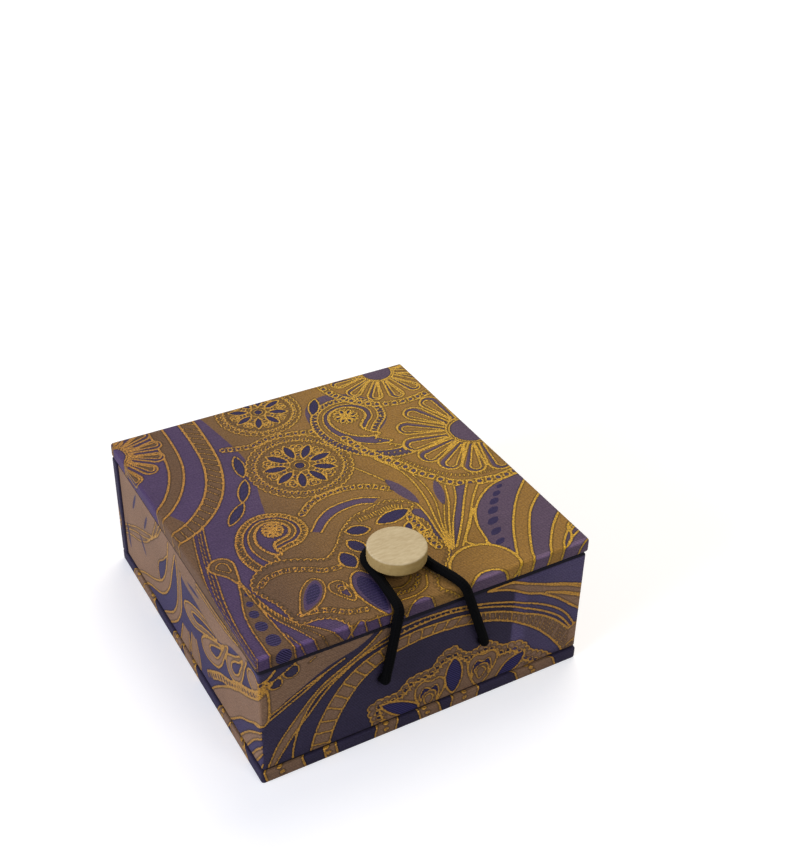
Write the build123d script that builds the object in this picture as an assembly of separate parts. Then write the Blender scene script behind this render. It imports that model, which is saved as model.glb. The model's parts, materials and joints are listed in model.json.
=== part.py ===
from build123d import *

# A small keepsake box of the book kind. A lid, a spine and a base of thick greyboard are wrapped
# in brocade, and the cloth alone joins the lid to the spine along the top of the back. A tray,
# covered in the same cloth, stands on the base against the spine and is lined with padded satin.
# A turned wooden button is screwed to the lid, and a loop of elastic cord, knotted inside the
# front wall, is hooked round the button's neck.
#
# Millimetres. X runs along the front, Y from the front to the back, Z up. The origin is the centre
# of the underside, on the surface that the box stands on.

import os
from math import hypot, radians, tan

# Case: lid, spine and base
case_width = 100.0
case_depth = 105.0
case_height = 44.0  # from the underside to the top of the closed lid
case_board = 3.0
wadding = 0.6  # thin felt that softens the top of the lid
brocade = 0.35
turn_in = 12.0  # how far the cloth is folded over the hidden side of a board
corner_round = 1.0  # the case's upright corners
lid_edge_round = 0.9
ledge = 1.6  # the lid, the base and the spine's ends stand out past the tray by this much
lid_gap = 0.6  # air between the tray's rim and the closed lid
hinge_strip = 3.0  # height of the cloth that bends, centred on the gap

# Tray
tray_board = 2.0
tray_corner_round = 0.8
tray_rim_round = 0.5

# Padded satin linings, each of satin over foam over a thin card
satin = 0.3
card = 1.0
wall_foam = 3.0
wall_crown = 0.6
wall_pad_gap = 0.3  # between one wall's pad and the next
lining_below_rim = 2.4
cushion_height = 7.5
cushion_crown = 1.6
cushion_gap = 0.5  # between the cushion and the wall pads
lid_card = 0.6
lid_pad_gap = 0.8  # from the lid's pad to the tray's cloth, and to the wall pads below it
lid_pad_crown = 1.2
pad_corner_round = 2.0
pad_edge_round = 0.9

# Button and its screw
head_width = 16.2
head_height = 4.0
head_edge_round = 0.5
neck_width = 9.6
button_x = -2.5
button_from_front = 15.0
screw_width = 2.8
screw_head_width = 5.4
screw_head_height = 1.4
screw_cover = 1.8  # wood left above the screw's tip
screw_clearance = 0.05

# Elastic loop
cord = 2.5
cord_clearance = 0.3
hole_clearance = 0.1
hole_below_rim = 17.9
hole_spacing = 32.0
hole_centre_x = 2.0
edge_spacing = 20.0  # between the legs where they reach the top of the lid's front edge
edge_centre_x = -0.5
exit_bend = 2.5
loop_slack = 1.0  # how much wider the loop's own bend is than the neck
loop_lead = 2.5  # length that runs straight back before the bend round the neck
lead_fill = 0.9  # share of that length which the bend before it takes up
neck_fill = 0.98  # the two bends behind the neck almost meet
joint_run = 0.4  # straight length between a bend and the place where the loop hinges
knot_width = 5.6
knot_depth = 3.2
knot_round = 1.2
knot_clearance = 0.3

# Places worked out from the sizes above
half_width = case_width / 2
front = -case_depth / 2
back = case_depth / 2
base_top = case_board + 2 * brocade
lid_under = case_height - case_board - wadding - 2 * brocade
rim = lid_under - lid_gap
spine_in = back - case_board - 2 * brocade
hinge_z = (rim + lid_under) / 2
hole_height = rim - hole_below_rim

tray_half = half_width - ledge
tray_front = front + ledge
board_half = tray_half - brocade
board_front = tray_front + brocade
board_back = spine_in - brocade
board_low = base_top + brocade
board_high = rim - brocade
inside_half = board_half - tray_board
inside_front = board_front + tray_board
inside_back = board_back - tray_board
floor_top = board_low + tray_board

wall_pad = card + wall_foam + satin
pad_half = inside_half - brocade
pad_front = inside_front + brocade
pad_back = inside_back - brocade
pad_high = rim - lining_below_rim
hollow_half = pad_half - wall_pad
hollow_front = pad_front + wall_pad
hollow_back = pad_back - wall_pad

button_y = front + button_from_front
head_under = case_height + cord + 2 * cord_clearance
screw_seat = lid_under + brocade + screw_head_height
screw_tip = head_under + head_height - screw_cover


def block(x0, x1, y0, y1, z0, z1):
    """A square-edged block between two corners."""
    return Pos((x0 + x1) / 2, (y0 + y1) / 2, (z0 + z1) / 2) * Box(x1 - x0, y1 - y0, z1 - z0)


def slab(x_half, y0, y1, z0, z1, corner=0.0, top=0.0, front_corners=True):
    """A board centred on X with rounded upright corners, and a rounded top edge if top is given."""
    shape = block(-x_half, x_half, y0, y1, z0, z1)
    if corner > 0:
        upright = shape.edges().filter_by(Axis.Z)
        if not front_corners:
            upright = upright.sort_by(Axis.Y)[-2:]
        shape = fillet(upright, corner)
    if top > 0:
        shape = fillet(shape.edges().group_by(Axis.Z)[-1], min(top, 0.9 * corner))
    return shape


def disc(x, y, z0, z1, width):
    """An upright round."""
    return Pos(x, y, (z0 + z1) / 2) * Cylinder(width / 2, z1 - z0)


def along_y(x, y0, y1, z, width):
    """A round that runs from front to back."""
    return Pos(x, (y0 + y1) / 2, z) * Rot(90, 0, 0) * Cylinder(width / 2, y1 - y0)


# Case. Each board lies one thickness of cloth inside its cover. The cover goes round the edges and
# over the hidden side, where it stops short and leaves the board bare in the middle.


def case_outline(z0, z1, inset=0.0, y0=front, top=0.0, front_corners=True):
    """The lid's, base's or spine's own outline, or one that lies inset inside it."""
    return slab(
        half_width - inset,
        y0 + inset,
        back - inset,
        z0,
        z1,
        corner_round - inset,
        top,
        front_corners,
    )


def make_base():
    board = case_outline(brocade, base_top - brocade, brocade)
    window = case_outline(base_top - brocade, base_top, turn_in)
    cover = case_outline(0, base_top) - board - window
    return {"base_board": board, "base_brocade": cover}


def hinge_zone():
    """The skin of the back where the cloth bends."""
    low, high = hinge_z - hinge_strip / 2, hinge_z + hinge_strip / 2
    return block(-half_width, half_width, back - brocade, back, low, high)


def make_spine():
    board = case_outline(base_top, rim - brocade, brocade, spine_in, front_corners=False)
    window = block(
        turn_in - half_width,
        half_width - turn_in,
        spine_in,
        spine_in + brocade,
        base_top,
        rim - turn_in,
    )
    whole = case_outline(base_top, rim, y0=spine_in, front_corners=False)
    return {"spine_board": board, "spine_brocade": whole - board - window - hinge_zone()}


def make_lid():
    board_top = lid_under + brocade + case_board
    felt_top = case_height - brocade
    board = case_outline(lid_under + brocade, board_top, brocade)
    felt = case_outline(board_top, felt_top, brocade, top=min(lid_edge_round - brocade, 0.9 * wadding))
    window = case_outline(lid_under, lid_under + brocade, turn_in)
    whole = case_outline(lid_under, case_height, top=lid_edge_round)
    cover = whole - board - felt - window - hinge_zone()
    shaft = disc(button_x, button_y, lid_under, case_height, screw_width + 2 * screw_clearance)
    counterbore = disc(
        button_x, button_y, lid_under, screw_seat, screw_head_width + 2 * screw_clearance
    )
    return {
        "lid_board": board - shaft - counterbore,
        "lid_wadding": felt - shaft,
        "lid_brocade": cover - shaft,
    }


def make_hinge():
    """The outer cloth bends behind the gap. The inner strip bridges it under the lid's back edge."""
    bend = case_outline(hinge_z - hinge_strip, hinge_z + hinge_strip) & hinge_zone()
    inner = block(-tray_half, tray_half, pad_back, back - brocade, lid_under - satin, lid_under)
    return {"hinge_brocade": bend, "hinge_lining": inner}


# Tray. Four walls stand round a floor, and one cover goes over the outside, the rim and the top of
# the inside, and a little way under the floor.


def cord_holes(width):
    """The two holes for the elastic, right through the front wall."""
    left, right = (
        along_y(hole_x(side), tray_front, inside_front, hole_height, width) for side in (-1, 1)
    )
    return left + right


def make_tray():
    holes = cord_holes(cord + 2 * hole_clearance)
    boards = {
        "tray_front_board": block(
            -board_half, board_half, board_front, inside_front, board_low, board_high
        )
        - holes,
        "tray_back_board": block(
            -board_half, board_half, inside_back, board_back, board_low, board_high
        ),
        "tray_left_board": block(
            -board_half, -inside_half, inside_front, inside_back, board_low, board_high
        ),
        "tray_right_board": block(
            inside_half, board_half, inside_front, inside_back, board_low, board_high
        ),
        "tray_floor_board": block(
            -inside_half, inside_half, inside_front, inside_back, board_low, floor_top
        ),
    }
    whole = slab(tray_half, tray_front, spine_in, base_top, rim, tray_corner_round, tray_rim_round)
    hollow = block(-inside_half, inside_half, inside_front, inside_back, floor_top, rim - turn_in)
    mouth = block(-pad_half, pad_half, pad_front, pad_back, rim - turn_in, rim)
    under = block(
        turn_in - board_half,
        board_half - turn_in,
        board_front + turn_in,
        board_back - turn_in,
        base_top,
        board_low,
    )
    cover = whole - list(boards.values()) - hollow - mouth - under - holes
    return {**boards, "tray_brocade": cover}


# Padded linings. Each is a crowned pad, a card with foam on it and satin drawn over both.


def crowned(width, depth, height, crown, inset):
    """A flat-backed pad that swells by crown from its corners to its middle, or its core, inset."""
    reach = hypot(width, depth) / 2
    ball = (reach**2 + crown**2) / (2 * crown)
    shape = Pos(0, 0, height / 2) * Box(width - 2 * inset, depth - 2 * inset, height)
    shape = fillet(shape.edges().filter_by(Axis.Z), pad_corner_round - inset)
    shape = shape & (Pos(0, 0, height - ball) * Sphere(ball - inset))
    top = shape.faces().sort_by(Axis.Z)[-1]
    return fillet(top.edges(), pad_edge_round - inset)


def make_pad(name, place, width, depth, height, crown, backing=card):
    """The card, foam and satin of one pad. place carries its flat back to where it is glued."""
    core = crowned(width, depth, height, crown, satin)
    sheet = Pos(0, 0, backing / 2) * Box(width, depth, backing)
    return {
        f"{name}_card": place * (core & sheet),
        f"{name}_foam": place * (core - sheet),
        f"{name}_satin": place * (crowned(width, depth, height, crown, 0) - core),
    }


def make_wall_pads():
    """The front and back pads run the whole width, and the side pads stand between them."""
    tall = pad_high - floor_top
    wide = 2 * pad_half
    deep = hollow_back - hollow_front - 2 * wall_pad_gap
    middle_y = (pad_front + pad_back) / 2
    middle_z = (floor_top + pad_high) / 2
    upright = Rot(-90, 0, 0)
    places = {
        "front_pad": (Pos(0, pad_front, middle_z) * upright, wide),
        "back_pad": (Pos(0, pad_back, middle_z) * Rot(0, 0, 180) * upright, wide),
        "left_pad": (Pos(-pad_half, middle_y, middle_z) * Rot(0, 0, -90) * upright, deep),
        "right_pad": (Pos(pad_half, middle_y, middle_z) * Rot(0, 0, 90) * upright, deep),
    }
    made = {}
    for name, (place, long) in places.items():
        made |= make_pad(name, place, long, tall, wall_pad, wall_crown)
    for side in (-1, 1):
        pocket = along_y(
            hole_x(side),
            inside_front,
            inside_front + knot_depth + knot_clearance,
            hole_height,
            knot_width + 2 * knot_clearance,
        )
        for layer in ("front_pad_card", "front_pad_foam"):
            made[layer] = made[layer] - pocket
    return made


def make_cushion():
    width = 2 * (hollow_half - cushion_gap)
    depth = hollow_back - hollow_front - 2 * cushion_gap
    place = Pos(0, (hollow_front + hollow_back) / 2, floor_top)
    return make_pad("cushion", place, width, depth, cushion_height, cushion_crown)


def make_lid_pad():
    """The lid's pad hangs inside the tray's rim, just above the wall pads."""
    width = 2 * (pad_half - lid_pad_gap)
    depth = pad_back - pad_front - 2 * lid_pad_gap
    height = lid_under - pad_high - lid_pad_gap + lid_pad_crown / 2
    place = Pos(0, (pad_front + pad_back) / 2, lid_under) * Rot(180, 0, 0)
    return make_pad("lid_pad", place, width, depth, height, lid_pad_crown, lid_card)


# Button. A neck stands on the lid and a wider head on the neck. The screw comes up from inside.


def make_button():
    bore = disc(button_x, button_y, screw_seat, screw_tip, screw_width + 2 * screw_clearance)
    head = disc(button_x, button_y, head_under, head_under + head_height, head_width)
    head = fillet(head.edges().filter_by(GeomType.CIRCLE), head_edge_round)
    neck = disc(button_x, button_y, case_height, head_under, neck_width)
    shaft = disc(button_x, button_y, screw_seat, screw_tip, screw_width)
    screw_head = disc(
        button_x, button_y, screw_seat - screw_head_height, screw_seat, screw_head_width
    )
    return {
        "button_head": head - bore,
        "button_neck": neck - bore,
        "button_screw": shaft + screw_head,
    }


# Elastic loop. From a knot behind the front wall the cord comes out of its hole, climbs the front,
# bends over the lid's edge, goes round the button's neck and returns the same way. It hinges just
# above its bend at the hole and just below its bend at the lid's edge.

leg_y = front - cord / 2 - cord_clearance
loop_z = case_height + cord / 2 + cord_clearance
edge_bend = lid_edge_round + cord_clearance + cord / 2
neck_path = neck_width / 2 + cord_clearance + cord / 2
neck_bend = neck_path + loop_slack
far_y = button_y + neck_path
lead_y = far_y - neck_bend - loop_lead
low_hinge_z = hole_height + exit_bend + joint_run
high_hinge_z = loop_z - edge_bend - joint_run


def hole_x(side):
    """Where the cord's hole is, on the left for side -1 and on the right for side 1."""
    return hole_centre_x + side * hole_spacing / 2


def on_leg(side, z):
    """The point of one leg at a height."""
    edge_x = edge_centre_x + side * edge_spacing / 2
    share = (z - hole_height) / (loop_z - hole_height)
    return (hole_x(side) + share * (edge_x - hole_x(side)), leg_y, z)


def turn(before, corner, after):
    """The angle through which a route turns at a corner, in radians."""
    incoming = Vector(*corner) - Vector(*before)
    return radians(incoming.get_angle(Vector(*after) - Vector(*corner)))


def cord_along(name, points, radii):
    """A round cord that follows straight runs joined by arcs of the given radii."""
    route = FilletPolyline(*points, radius=radii) if radii else Line(*points)
    made = sweep((route ^ 0) * Circle(cord / 2), path=route)
    filled = made.volume / (route.length * Circle(cord / 2).area)
    bends = [round(radius, 2) for radius in radii]
    print(f"{name}: length {route.length:.2f}, bends {bends}, volume against section {filled:.4f}")
    return made


def make_knot(side):
    knot = along_y(hole_x(side), inside_front, inside_front + knot_depth, hole_height, knot_width)
    return fillet(knot.edges().filter_by(GeomType.CIRCLE), knot_round)


def make_tail(side):
    """The cord through the wall and round the bend at its hole."""
    points = [
        (hole_x(side), inside_front, hole_height),
        on_leg(side, hole_height),
        on_leg(side, low_hinge_z),
    ]
    return cord_along("tail", points, [exit_bend])


def make_leg(side):
    return cord_along("leg", [on_leg(side, low_hinge_z), on_leg(side, high_hinge_z)], [])


def make_bight():
    """The cord over the lid's edge and round the button's neck."""
    halves = {}
    for side in (-1, 1):
        halves[side] = [
            on_leg(side, high_hinge_z),
            on_leg(side, loop_z),
            (button_x + side * neck_bend, lead_y, loop_z),
            (button_x + side * neck_bend, far_y, loop_z),
        ]
    points = halves[-1] + halves[1][::-1]
    lead_bends = [
        lead_fill * loop_lead / tan(turn(*points[at - 1 : at + 2]) / 2) for at in (2, len(points) - 3)
    ]
    neck_bends = 2 * [neck_fill * neck_bend]
    radii = [edge_bend, lead_bends[0], *neck_bends, lead_bends[1], edge_bend]
    return cord_along("bight", points, radii)


def make_loop():
    return {
        "loop_knots": Compound([make_knot(-1), make_knot(1)]),
        "loop_tails": Compound([make_tail(-1), make_tail(1)]),
        "loop_legs": Compound([make_leg(-1), make_leg(1)]),
        "loop_bight": make_bight(),
    }


parts = {}
for make in (
    make_base,
    make_spine,
    make_lid,
    make_hinge,
    make_tray,
    make_wall_pads,
    make_cushion,
    make_lid_pad,
    make_button,
    make_loop,
):
    parts |= make()

os.makedirs("parts", exist_ok=True)
for name, shape in parts.items():
    export_step(shape, f"parts/{name}.step")
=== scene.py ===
import json
from math import cos, hypot, pi, radians, sin

import bmesh
import bpy
import numpy as np
from mathutils import Matrix, Vector


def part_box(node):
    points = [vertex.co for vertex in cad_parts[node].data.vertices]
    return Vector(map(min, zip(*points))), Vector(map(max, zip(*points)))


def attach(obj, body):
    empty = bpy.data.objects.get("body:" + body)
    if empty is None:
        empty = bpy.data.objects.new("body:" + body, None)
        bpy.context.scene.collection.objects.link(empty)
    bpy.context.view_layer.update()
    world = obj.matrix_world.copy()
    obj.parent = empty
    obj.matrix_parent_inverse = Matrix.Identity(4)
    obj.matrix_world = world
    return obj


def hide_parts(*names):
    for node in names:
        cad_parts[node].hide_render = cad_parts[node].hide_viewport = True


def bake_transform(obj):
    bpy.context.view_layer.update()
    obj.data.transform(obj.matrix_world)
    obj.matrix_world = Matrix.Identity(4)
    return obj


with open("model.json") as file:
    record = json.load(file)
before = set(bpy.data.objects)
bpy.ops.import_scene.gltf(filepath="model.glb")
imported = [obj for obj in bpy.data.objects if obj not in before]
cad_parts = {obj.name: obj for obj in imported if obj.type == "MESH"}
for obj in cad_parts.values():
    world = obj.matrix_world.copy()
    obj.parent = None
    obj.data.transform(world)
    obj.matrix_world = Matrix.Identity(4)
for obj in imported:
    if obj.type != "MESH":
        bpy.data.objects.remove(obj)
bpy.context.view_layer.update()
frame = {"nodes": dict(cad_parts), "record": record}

# Camera and room. The eye stands above the box's front left corner, at the angle of a person who
# looks down at it on a table. The room is a plain white sweep with soft lamps.
MM = 0.001
eye = Vector((-138.24, -267.23, 267.17)) * MM
yaw, pitch, roll = radians(30.3), radians(33.87), radians(1.44)
ahead = Vector((sin(yaw) * cos(pitch), cos(yaw) * cos(pitch), -sin(pitch)))
level = Vector((cos(yaw), -sin(yaw), 0))
upward = level.cross(ahead)
right = cos(roll) * level + sin(roll) * upward
top = cos(roll) * upward - sin(roll) * level
camera = bpy.data.objects.new("camera", bpy.data.cameras.new("camera"))
camera.matrix_world = Matrix.Translation(eye) @ Matrix((right, top, -ahead)).transposed().to_4x4()
camera.data.lens = 55.03
camera.data.sensor_width = 36
camera.data.clip_start = 0.01
bpy.context.scene.collection.objects.link(camera)
bpy.context.scene.camera = camera
bpy.context.scene.view_settings.view_transform = "Standard"


def colour(code):
    """A colour for a shader, from the hex code of what the eye sees."""
    shares = [int(code[at : at + 2], 16) / 255 for at in (1, 3, 5)]
    linear = [s / 12.92 if s <= 0.04045 else ((s + 0.055) / 1.055) ** 2.4 for s in shares]
    return (*linear, 1.0)


def add(tree, kind, links=(), **settings):
    """A shader node with its settings, and with its inputs, by order or by name, set or linked. A
    node given as a link stands for its main output."""
    made = tree.nodes.new("ShaderNode" + kind)
    for name, value in settings.items():
        setattr(made, name, value)
    for name, value in links.items() if isinstance(links, dict) else enumerate(links):
        if isinstance(value, bpy.types.Node):
            value = value.outputs[2 if value.bl_idname == "ShaderNodeMix" else 0]
        if isinstance(value, bpy.types.NodeSocket):
            tree.links.new(value, made.inputs[name])
        else:
            made.inputs[name].default_value = value
    return made


def new_material(name):
    material = bpy.data.materials.new(name)
    material.use_nodes = True
    material.node_tree.nodes.clear()
    return material, material.node_tree


def new_piece(name, form, material):
    """An object at the origin from a bmesh or a mesh, smooth shaded."""
    mesh = form
    if isinstance(form, bmesh.types.BMesh):
        mesh = bpy.data.meshes.new(name)
        form.to_mesh(mesh)
        form.free()
    mesh.name = name
    mesh.polygons.foreach_set("use_smooth", [True] * len(mesh.polygons))
    mesh.materials.clear()
    mesh.materials.append(material)
    piece = bpy.data.objects.new(name, mesh)
    bpy.context.scene.collection.objects.link(piece)
    return piece


# The paper sweep is matt and white. The camera sees it a little lighter than it lights the box,
# so that it stays white and keeps the box's soft shadow.
paper, tree = new_material("white_paper_sweep")
seen = add(tree, "LightPath")
matt = add(tree, "BsdfDiffuse", {"Color": colour("#d9d9d9")})
where = add(tree, "TexCoord").outputs["Object"]
away = add(tree, "VectorMath", [where], operation="LENGTH").outputs["Value"]
fade = add(
    tree, "MapRange", [away, 0.3, 1.5, 0.46, 1.0], interpolation_type="SMOOTHSTEP"
)
glow = add(tree, "Emission", {"Color": colour("#ffffff"), "Strength": fade})
both = add(tree, "AddShader", [matt, glow])
mixed = add(tree, "MixShader", [seen.outputs["Is Camera Ray"], matt, both])
add(tree, "OutputMaterial", [mixed])
form = bmesh.new()
bmesh.ops.create_grid(form, x_segments=2, y_segments=2, size=3.0)
new_piece("floor", form, paper)

world = bpy.data.worlds.new("room")
bpy.context.scene.world = world
world.use_nodes = True
tree = world.node_tree
tree.nodes.clear()
seen = add(tree, "LightPath").outputs
clear = add(tree, "Math", [seen["Is Camera Ray"], seen["Is Glossy Ray"]], operation="MAXIMUM")
room = add(tree, "Background", [colour("#f4f6ff"), 0.26])
white = add(tree, "Background", [colour("#ffffff"), 1.0])
mixed = add(tree, "MixShader", [clear, room, white])
add(tree, "OutputWorld", [mixed])

for name, place, size, power, tint in (
    ("lamp_above", (0.35, 0.40, 0.85), 0.7, 5.3, "#fff4e2"),
    ("lamp_left", (-1.0, -0.10, 0.33), 0.6, 10.6, "#e0e6ff"),
    ("lamp_front", (0.15, -0.80, 0.80), 0.5, 3.0, "#ffffff"),
):
    lamp = bpy.data.lights.new(name, "AREA")
    lamp.shape = "DISK"
    lamp.size = size
    lamp.energy = power
    lamp.color = colour(tint)[:3]
    holder = bpy.data.objects.new(name, lamp)
    aim = (-Vector(place)).to_track_quat("-Z", "Y").to_matrix().to_4x4()
    holder.matrix_world = Matrix.Translation(place) @ aim
    bpy.context.scene.collection.objects.link(holder)


# Elastic loop. One length of round black elastic, knotted behind the front wall, comes out of two
# holes, climbs the front, bends over the lid's edge and goes round the neck of the button.
elastic_width = 2.5
loop_fuller, exit_fuller = 1.08, 1.06  # its threads stand a little proud of the cord's own round
low_end, high_end = 25.6, 42.7
bight_height = 45.55
leg_front = -54.05
exits = {-1: -14.2, 1: 16.8}
edges = {-1: -10.7, 1: 8.5}
hole_height = 21.2


def on_leg(side, height, back=0.0):
    """A point of one leg. The leg leans in from the lid's edge to its hole in the wall."""
    share = (height - hole_height) / (bight_height - hole_height)
    across = exits[side] + share * (edges[side] - exits[side])
    return (across, leg_front + 0.8 * (1 - share) ** 1.2 + back, height)


def bend_between(piece):
    """Bakes the place of a piece of the loop into its mesh, where it stays."""
    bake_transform(piece)


def tube(name, points, width):
    """A smooth round cord through the pull of a few points: its mesh, and the line it follows."""
    curve = bpy.data.curves.new(name, "CURVE")
    curve.dimensions = "3D"
    curve.resolution_u = 10
    line = curve.splines.new("NURBS")
    line.points.add(len(points) - 1)
    for point, place in zip(line.points, points):
        point.co = (*(value * MM for value in place), 1)
    line.order_u = 3
    line.use_endpoint_u = True
    holder = bpy.data.objects.new(name + "_route", curve)
    bare = bpy.data.meshes.new_from_object(holder)
    path = np.array([v.co for v in bare.vertices])
    curve.bevel_depth = width / 2 * MM
    curve.bevel_resolution = 5
    curve.use_fill_caps = True
    mesh = bpy.data.meshes.new_from_object(holder)
    bpy.data.objects.remove(holder)
    bpy.data.meshes.remove(bare)

    # where each place lies on the sleeve: across, up and along the cord, in mm
    run = np.concatenate([[0], np.cumsum(np.linalg.norm(np.diff(path, axis=0), axis=1))])
    places = np.array([v.co for v in mesh.vertices])
    nearest = np.argmin(((places[:, None] - path[None]) ** 2).sum(2), axis=1)
    ahead_of = np.gradient(path, axis=0)[nearest]
    ahead_of /= np.linalg.norm(ahead_of, axis=1)[:, None]
    out = places - path[nearest]
    out -= (out * ahead_of).sum(1)[:, None] * ahead_of
    side_way = np.cross(ahead_of, (0.0, 0.03, 1.0))
    flat = np.linalg.norm(side_way, axis=1) < 0.2
    side_way[flat] = np.cross(ahead_of[flat], (0.0, 1.0, 0.0))
    side_way /= np.linalg.norm(side_way, axis=1)[:, None]
    third = np.cross(ahead_of, side_way)
    turned = np.stack([(out * side_way).sum(1), (out * third).sum(1), run[nearest]], axis=1) / MM
    braid = mesh.attributes.new("braid", "FLOAT_VECTOR", "POINT")
    braid.data.foreach_set("vector", turned.astype(np.float32).ravel())
    return mesh, path, float(run[-1])


# Braided elastic: a matt black sleeve of fine threads over rubber. The eye gets a small diamond
# braid and a dull sheen. The braid is drawn at 1.1 mm, coarser than it is, so that it shows.
braid_length, strands_round = 1.1, 5.0
elastic, tree = new_material("braided_black_elastic")
braid = add(tree, "Attribute", attribute_name="braid").outputs["Vector"]
across, up, along = add(tree, "SeparateXYZ", [braid]).outputs
angle = add(tree, "Math", [across, up], operation="ARCTAN2")
waves = []
for lean in (-1, 1):
    run = add(tree, "Math", [along, lean * 2 * pi / braid_length], operation="MULTIPLY")
    turn = add(tree, "Math", [angle, strands_round, run], operation="MULTIPLY_ADD")
    waves.append(add(tree, "Math", [turn], operation="SINE"))
strands = add(tree, "Math", waves, operation="MULTIPLY")
place = add(tree, "TexCoord").outputs["Object"]
fuzz = add(tree, "TexNoise", {"Vector": place, "Scale": 2600.0, "Detail": 2.0})
height = add(tree, "Math", [fuzz, 0.5, strands], operation="MULTIPLY_ADD")
bump = add(tree, "Bump", {"Strength": 0.55, "Distance": 0.12 * MM, "Height": height})
shade = add(tree, "MapRange", [height, -1.0, 1.4])
dyes = {0: shade, 6: colour("#010101"), 7: colour("#070708")}
black = add(tree, "Mix", dyes, data_type="RGBA")
sleeve = add(
    tree,
    "BsdfPrincipled",
    {"Base Color": black, "Roughness": 0.8, "Specular IOR Level": 0.04, "Normal": bump},
)
add(tree, "OutputMaterial", [sleeve])

route = [
    on_leg(-1, low_end),
    on_leg(-1, 31.0),
    on_leg(-1, 40.8),
    on_leg(-1, 45.3, 0.05),
    (-10.4, -48.8, bight_height + 0.05),
    (-9.75, -41.0, bight_height),
    (-10.1, -31.0, bight_height),
    (-2.5, -29.2, bight_height),
    (4.8, -31.0, bight_height),
    (4.3, -41.0, bight_height),
    (7.1, -48.8, bight_height + 0.05),
    on_leg(1, 45.3, 0.05),
    on_leg(1, 40.8),
    on_leg(1, 31.0),
    on_leg(1, low_end),
]
mesh, loop_line, loop_length = tube("elastic_loop", route, elastic_width * loop_fuller)
elastic_loop = new_piece("elastic_loop", mesh, elastic)
bend_between(elastic_loop)
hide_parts("loop_legs", "loop_bight")
ends = []
for side, name in ((-1, "elastic_exit_left"), (1, "elastic_exit_right")):
    points = [
        (exits[side], -49.8, hole_height - 0.2),
        (exits[side], -51.8, hole_height - 0.2),
        (exits[side] - 0.1 * side, -53.3, hole_height - 0.1),
        on_leg(side, hole_height + 1.4),
        on_leg(side, hole_height + 3.2),
        on_leg(side, low_end + 0.4),
    ]
    mesh, _, _ = tube(name, points, elastic_width * exit_fuller)
    ends.append(new_piece(name, mesh, elastic))
    bend_between(ends[-1])
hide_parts("loop_tails")


# Brocade. The cloth is a shot silk of purple warp and brown weft, figured with gold thread. The
# figure is drawn here as it lies flat, in mm, and each cover says where its own cloth lies.
thread_width = 0.56
reach = 3.0  # how far from a line its distance is still worked out


def bent(points, closed=False, pace=0.7):
    """A smooth line through a few points, cut into short straight pieces."""
    p = np.array(points, float)
    if closed:
        p = np.vstack([p[-1:], p, p[:2]])
    else:
        p = np.vstack([2 * p[0] - p[1], p, 2 * p[-1] - p[-2]])
    made = []
    for at in range(1, len(p) - 2):
        a, b, c, d = p[at - 1 : at + 3]
        pieces = int(hypot(*(c - b)) / pace) + 1
        t = np.linspace(0, 1, pieces, endpoint=False)[:, None]
        square, cube = 2 * a - 5 * b + 4 * c - d, 3 * b - a - 3 * c + d
        made.append((2 * b + (c - a) * t + square * t**2 + cube * t**3) / 2)
    return np.vstack(made if closed else [*made, p[-2:-1]])


def stations(line, spacing):
    """Places at even steps along a line."""
    run = np.concatenate([[0], np.cumsum(np.hypot(*np.diff(line, axis=0).T))])
    at = np.linspace(0, run[-1], max(2, int(round(run[-1] / spacing)) + 1))
    return np.stack([np.interp(at, run, line[:, 0]), np.interp(at, run, line[:, 1])], axis=1)


def headings(line):
    """The way that a line runs at each of its points."""
    steps = np.gradient(line, axis=0)
    return steps / np.hypot(*steps.T)[:, None]


def round_line(x, y, wide, tall, count):
    """Points of an oval round x, y."""
    turns = np.linspace(0, 2 * pi, count, endpoint=False)
    return [(x + wide * cos(a), y + tall * sin(a)) for a in turns]


def set_at(points, x, y, angle=0.0, size=1.0):
    """Points of a motif, turned by an angle in degrees and moved to where it is woven."""
    c, s = cos(radians(angle)) * size, sin(radians(angle)) * size
    p = np.array(points, float)
    return np.stack([x + c * p[:, 0] - s * p[:, 1], y + s * p[:, 0] + c * p[:, 1]], axis=1)


def out_from(x, y, length, angle):
    """The place at a distance from x, y, in the direction of an angle in degrees."""
    return x + length * cos(radians(angle)), y + length * sin(radians(angle))


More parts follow.
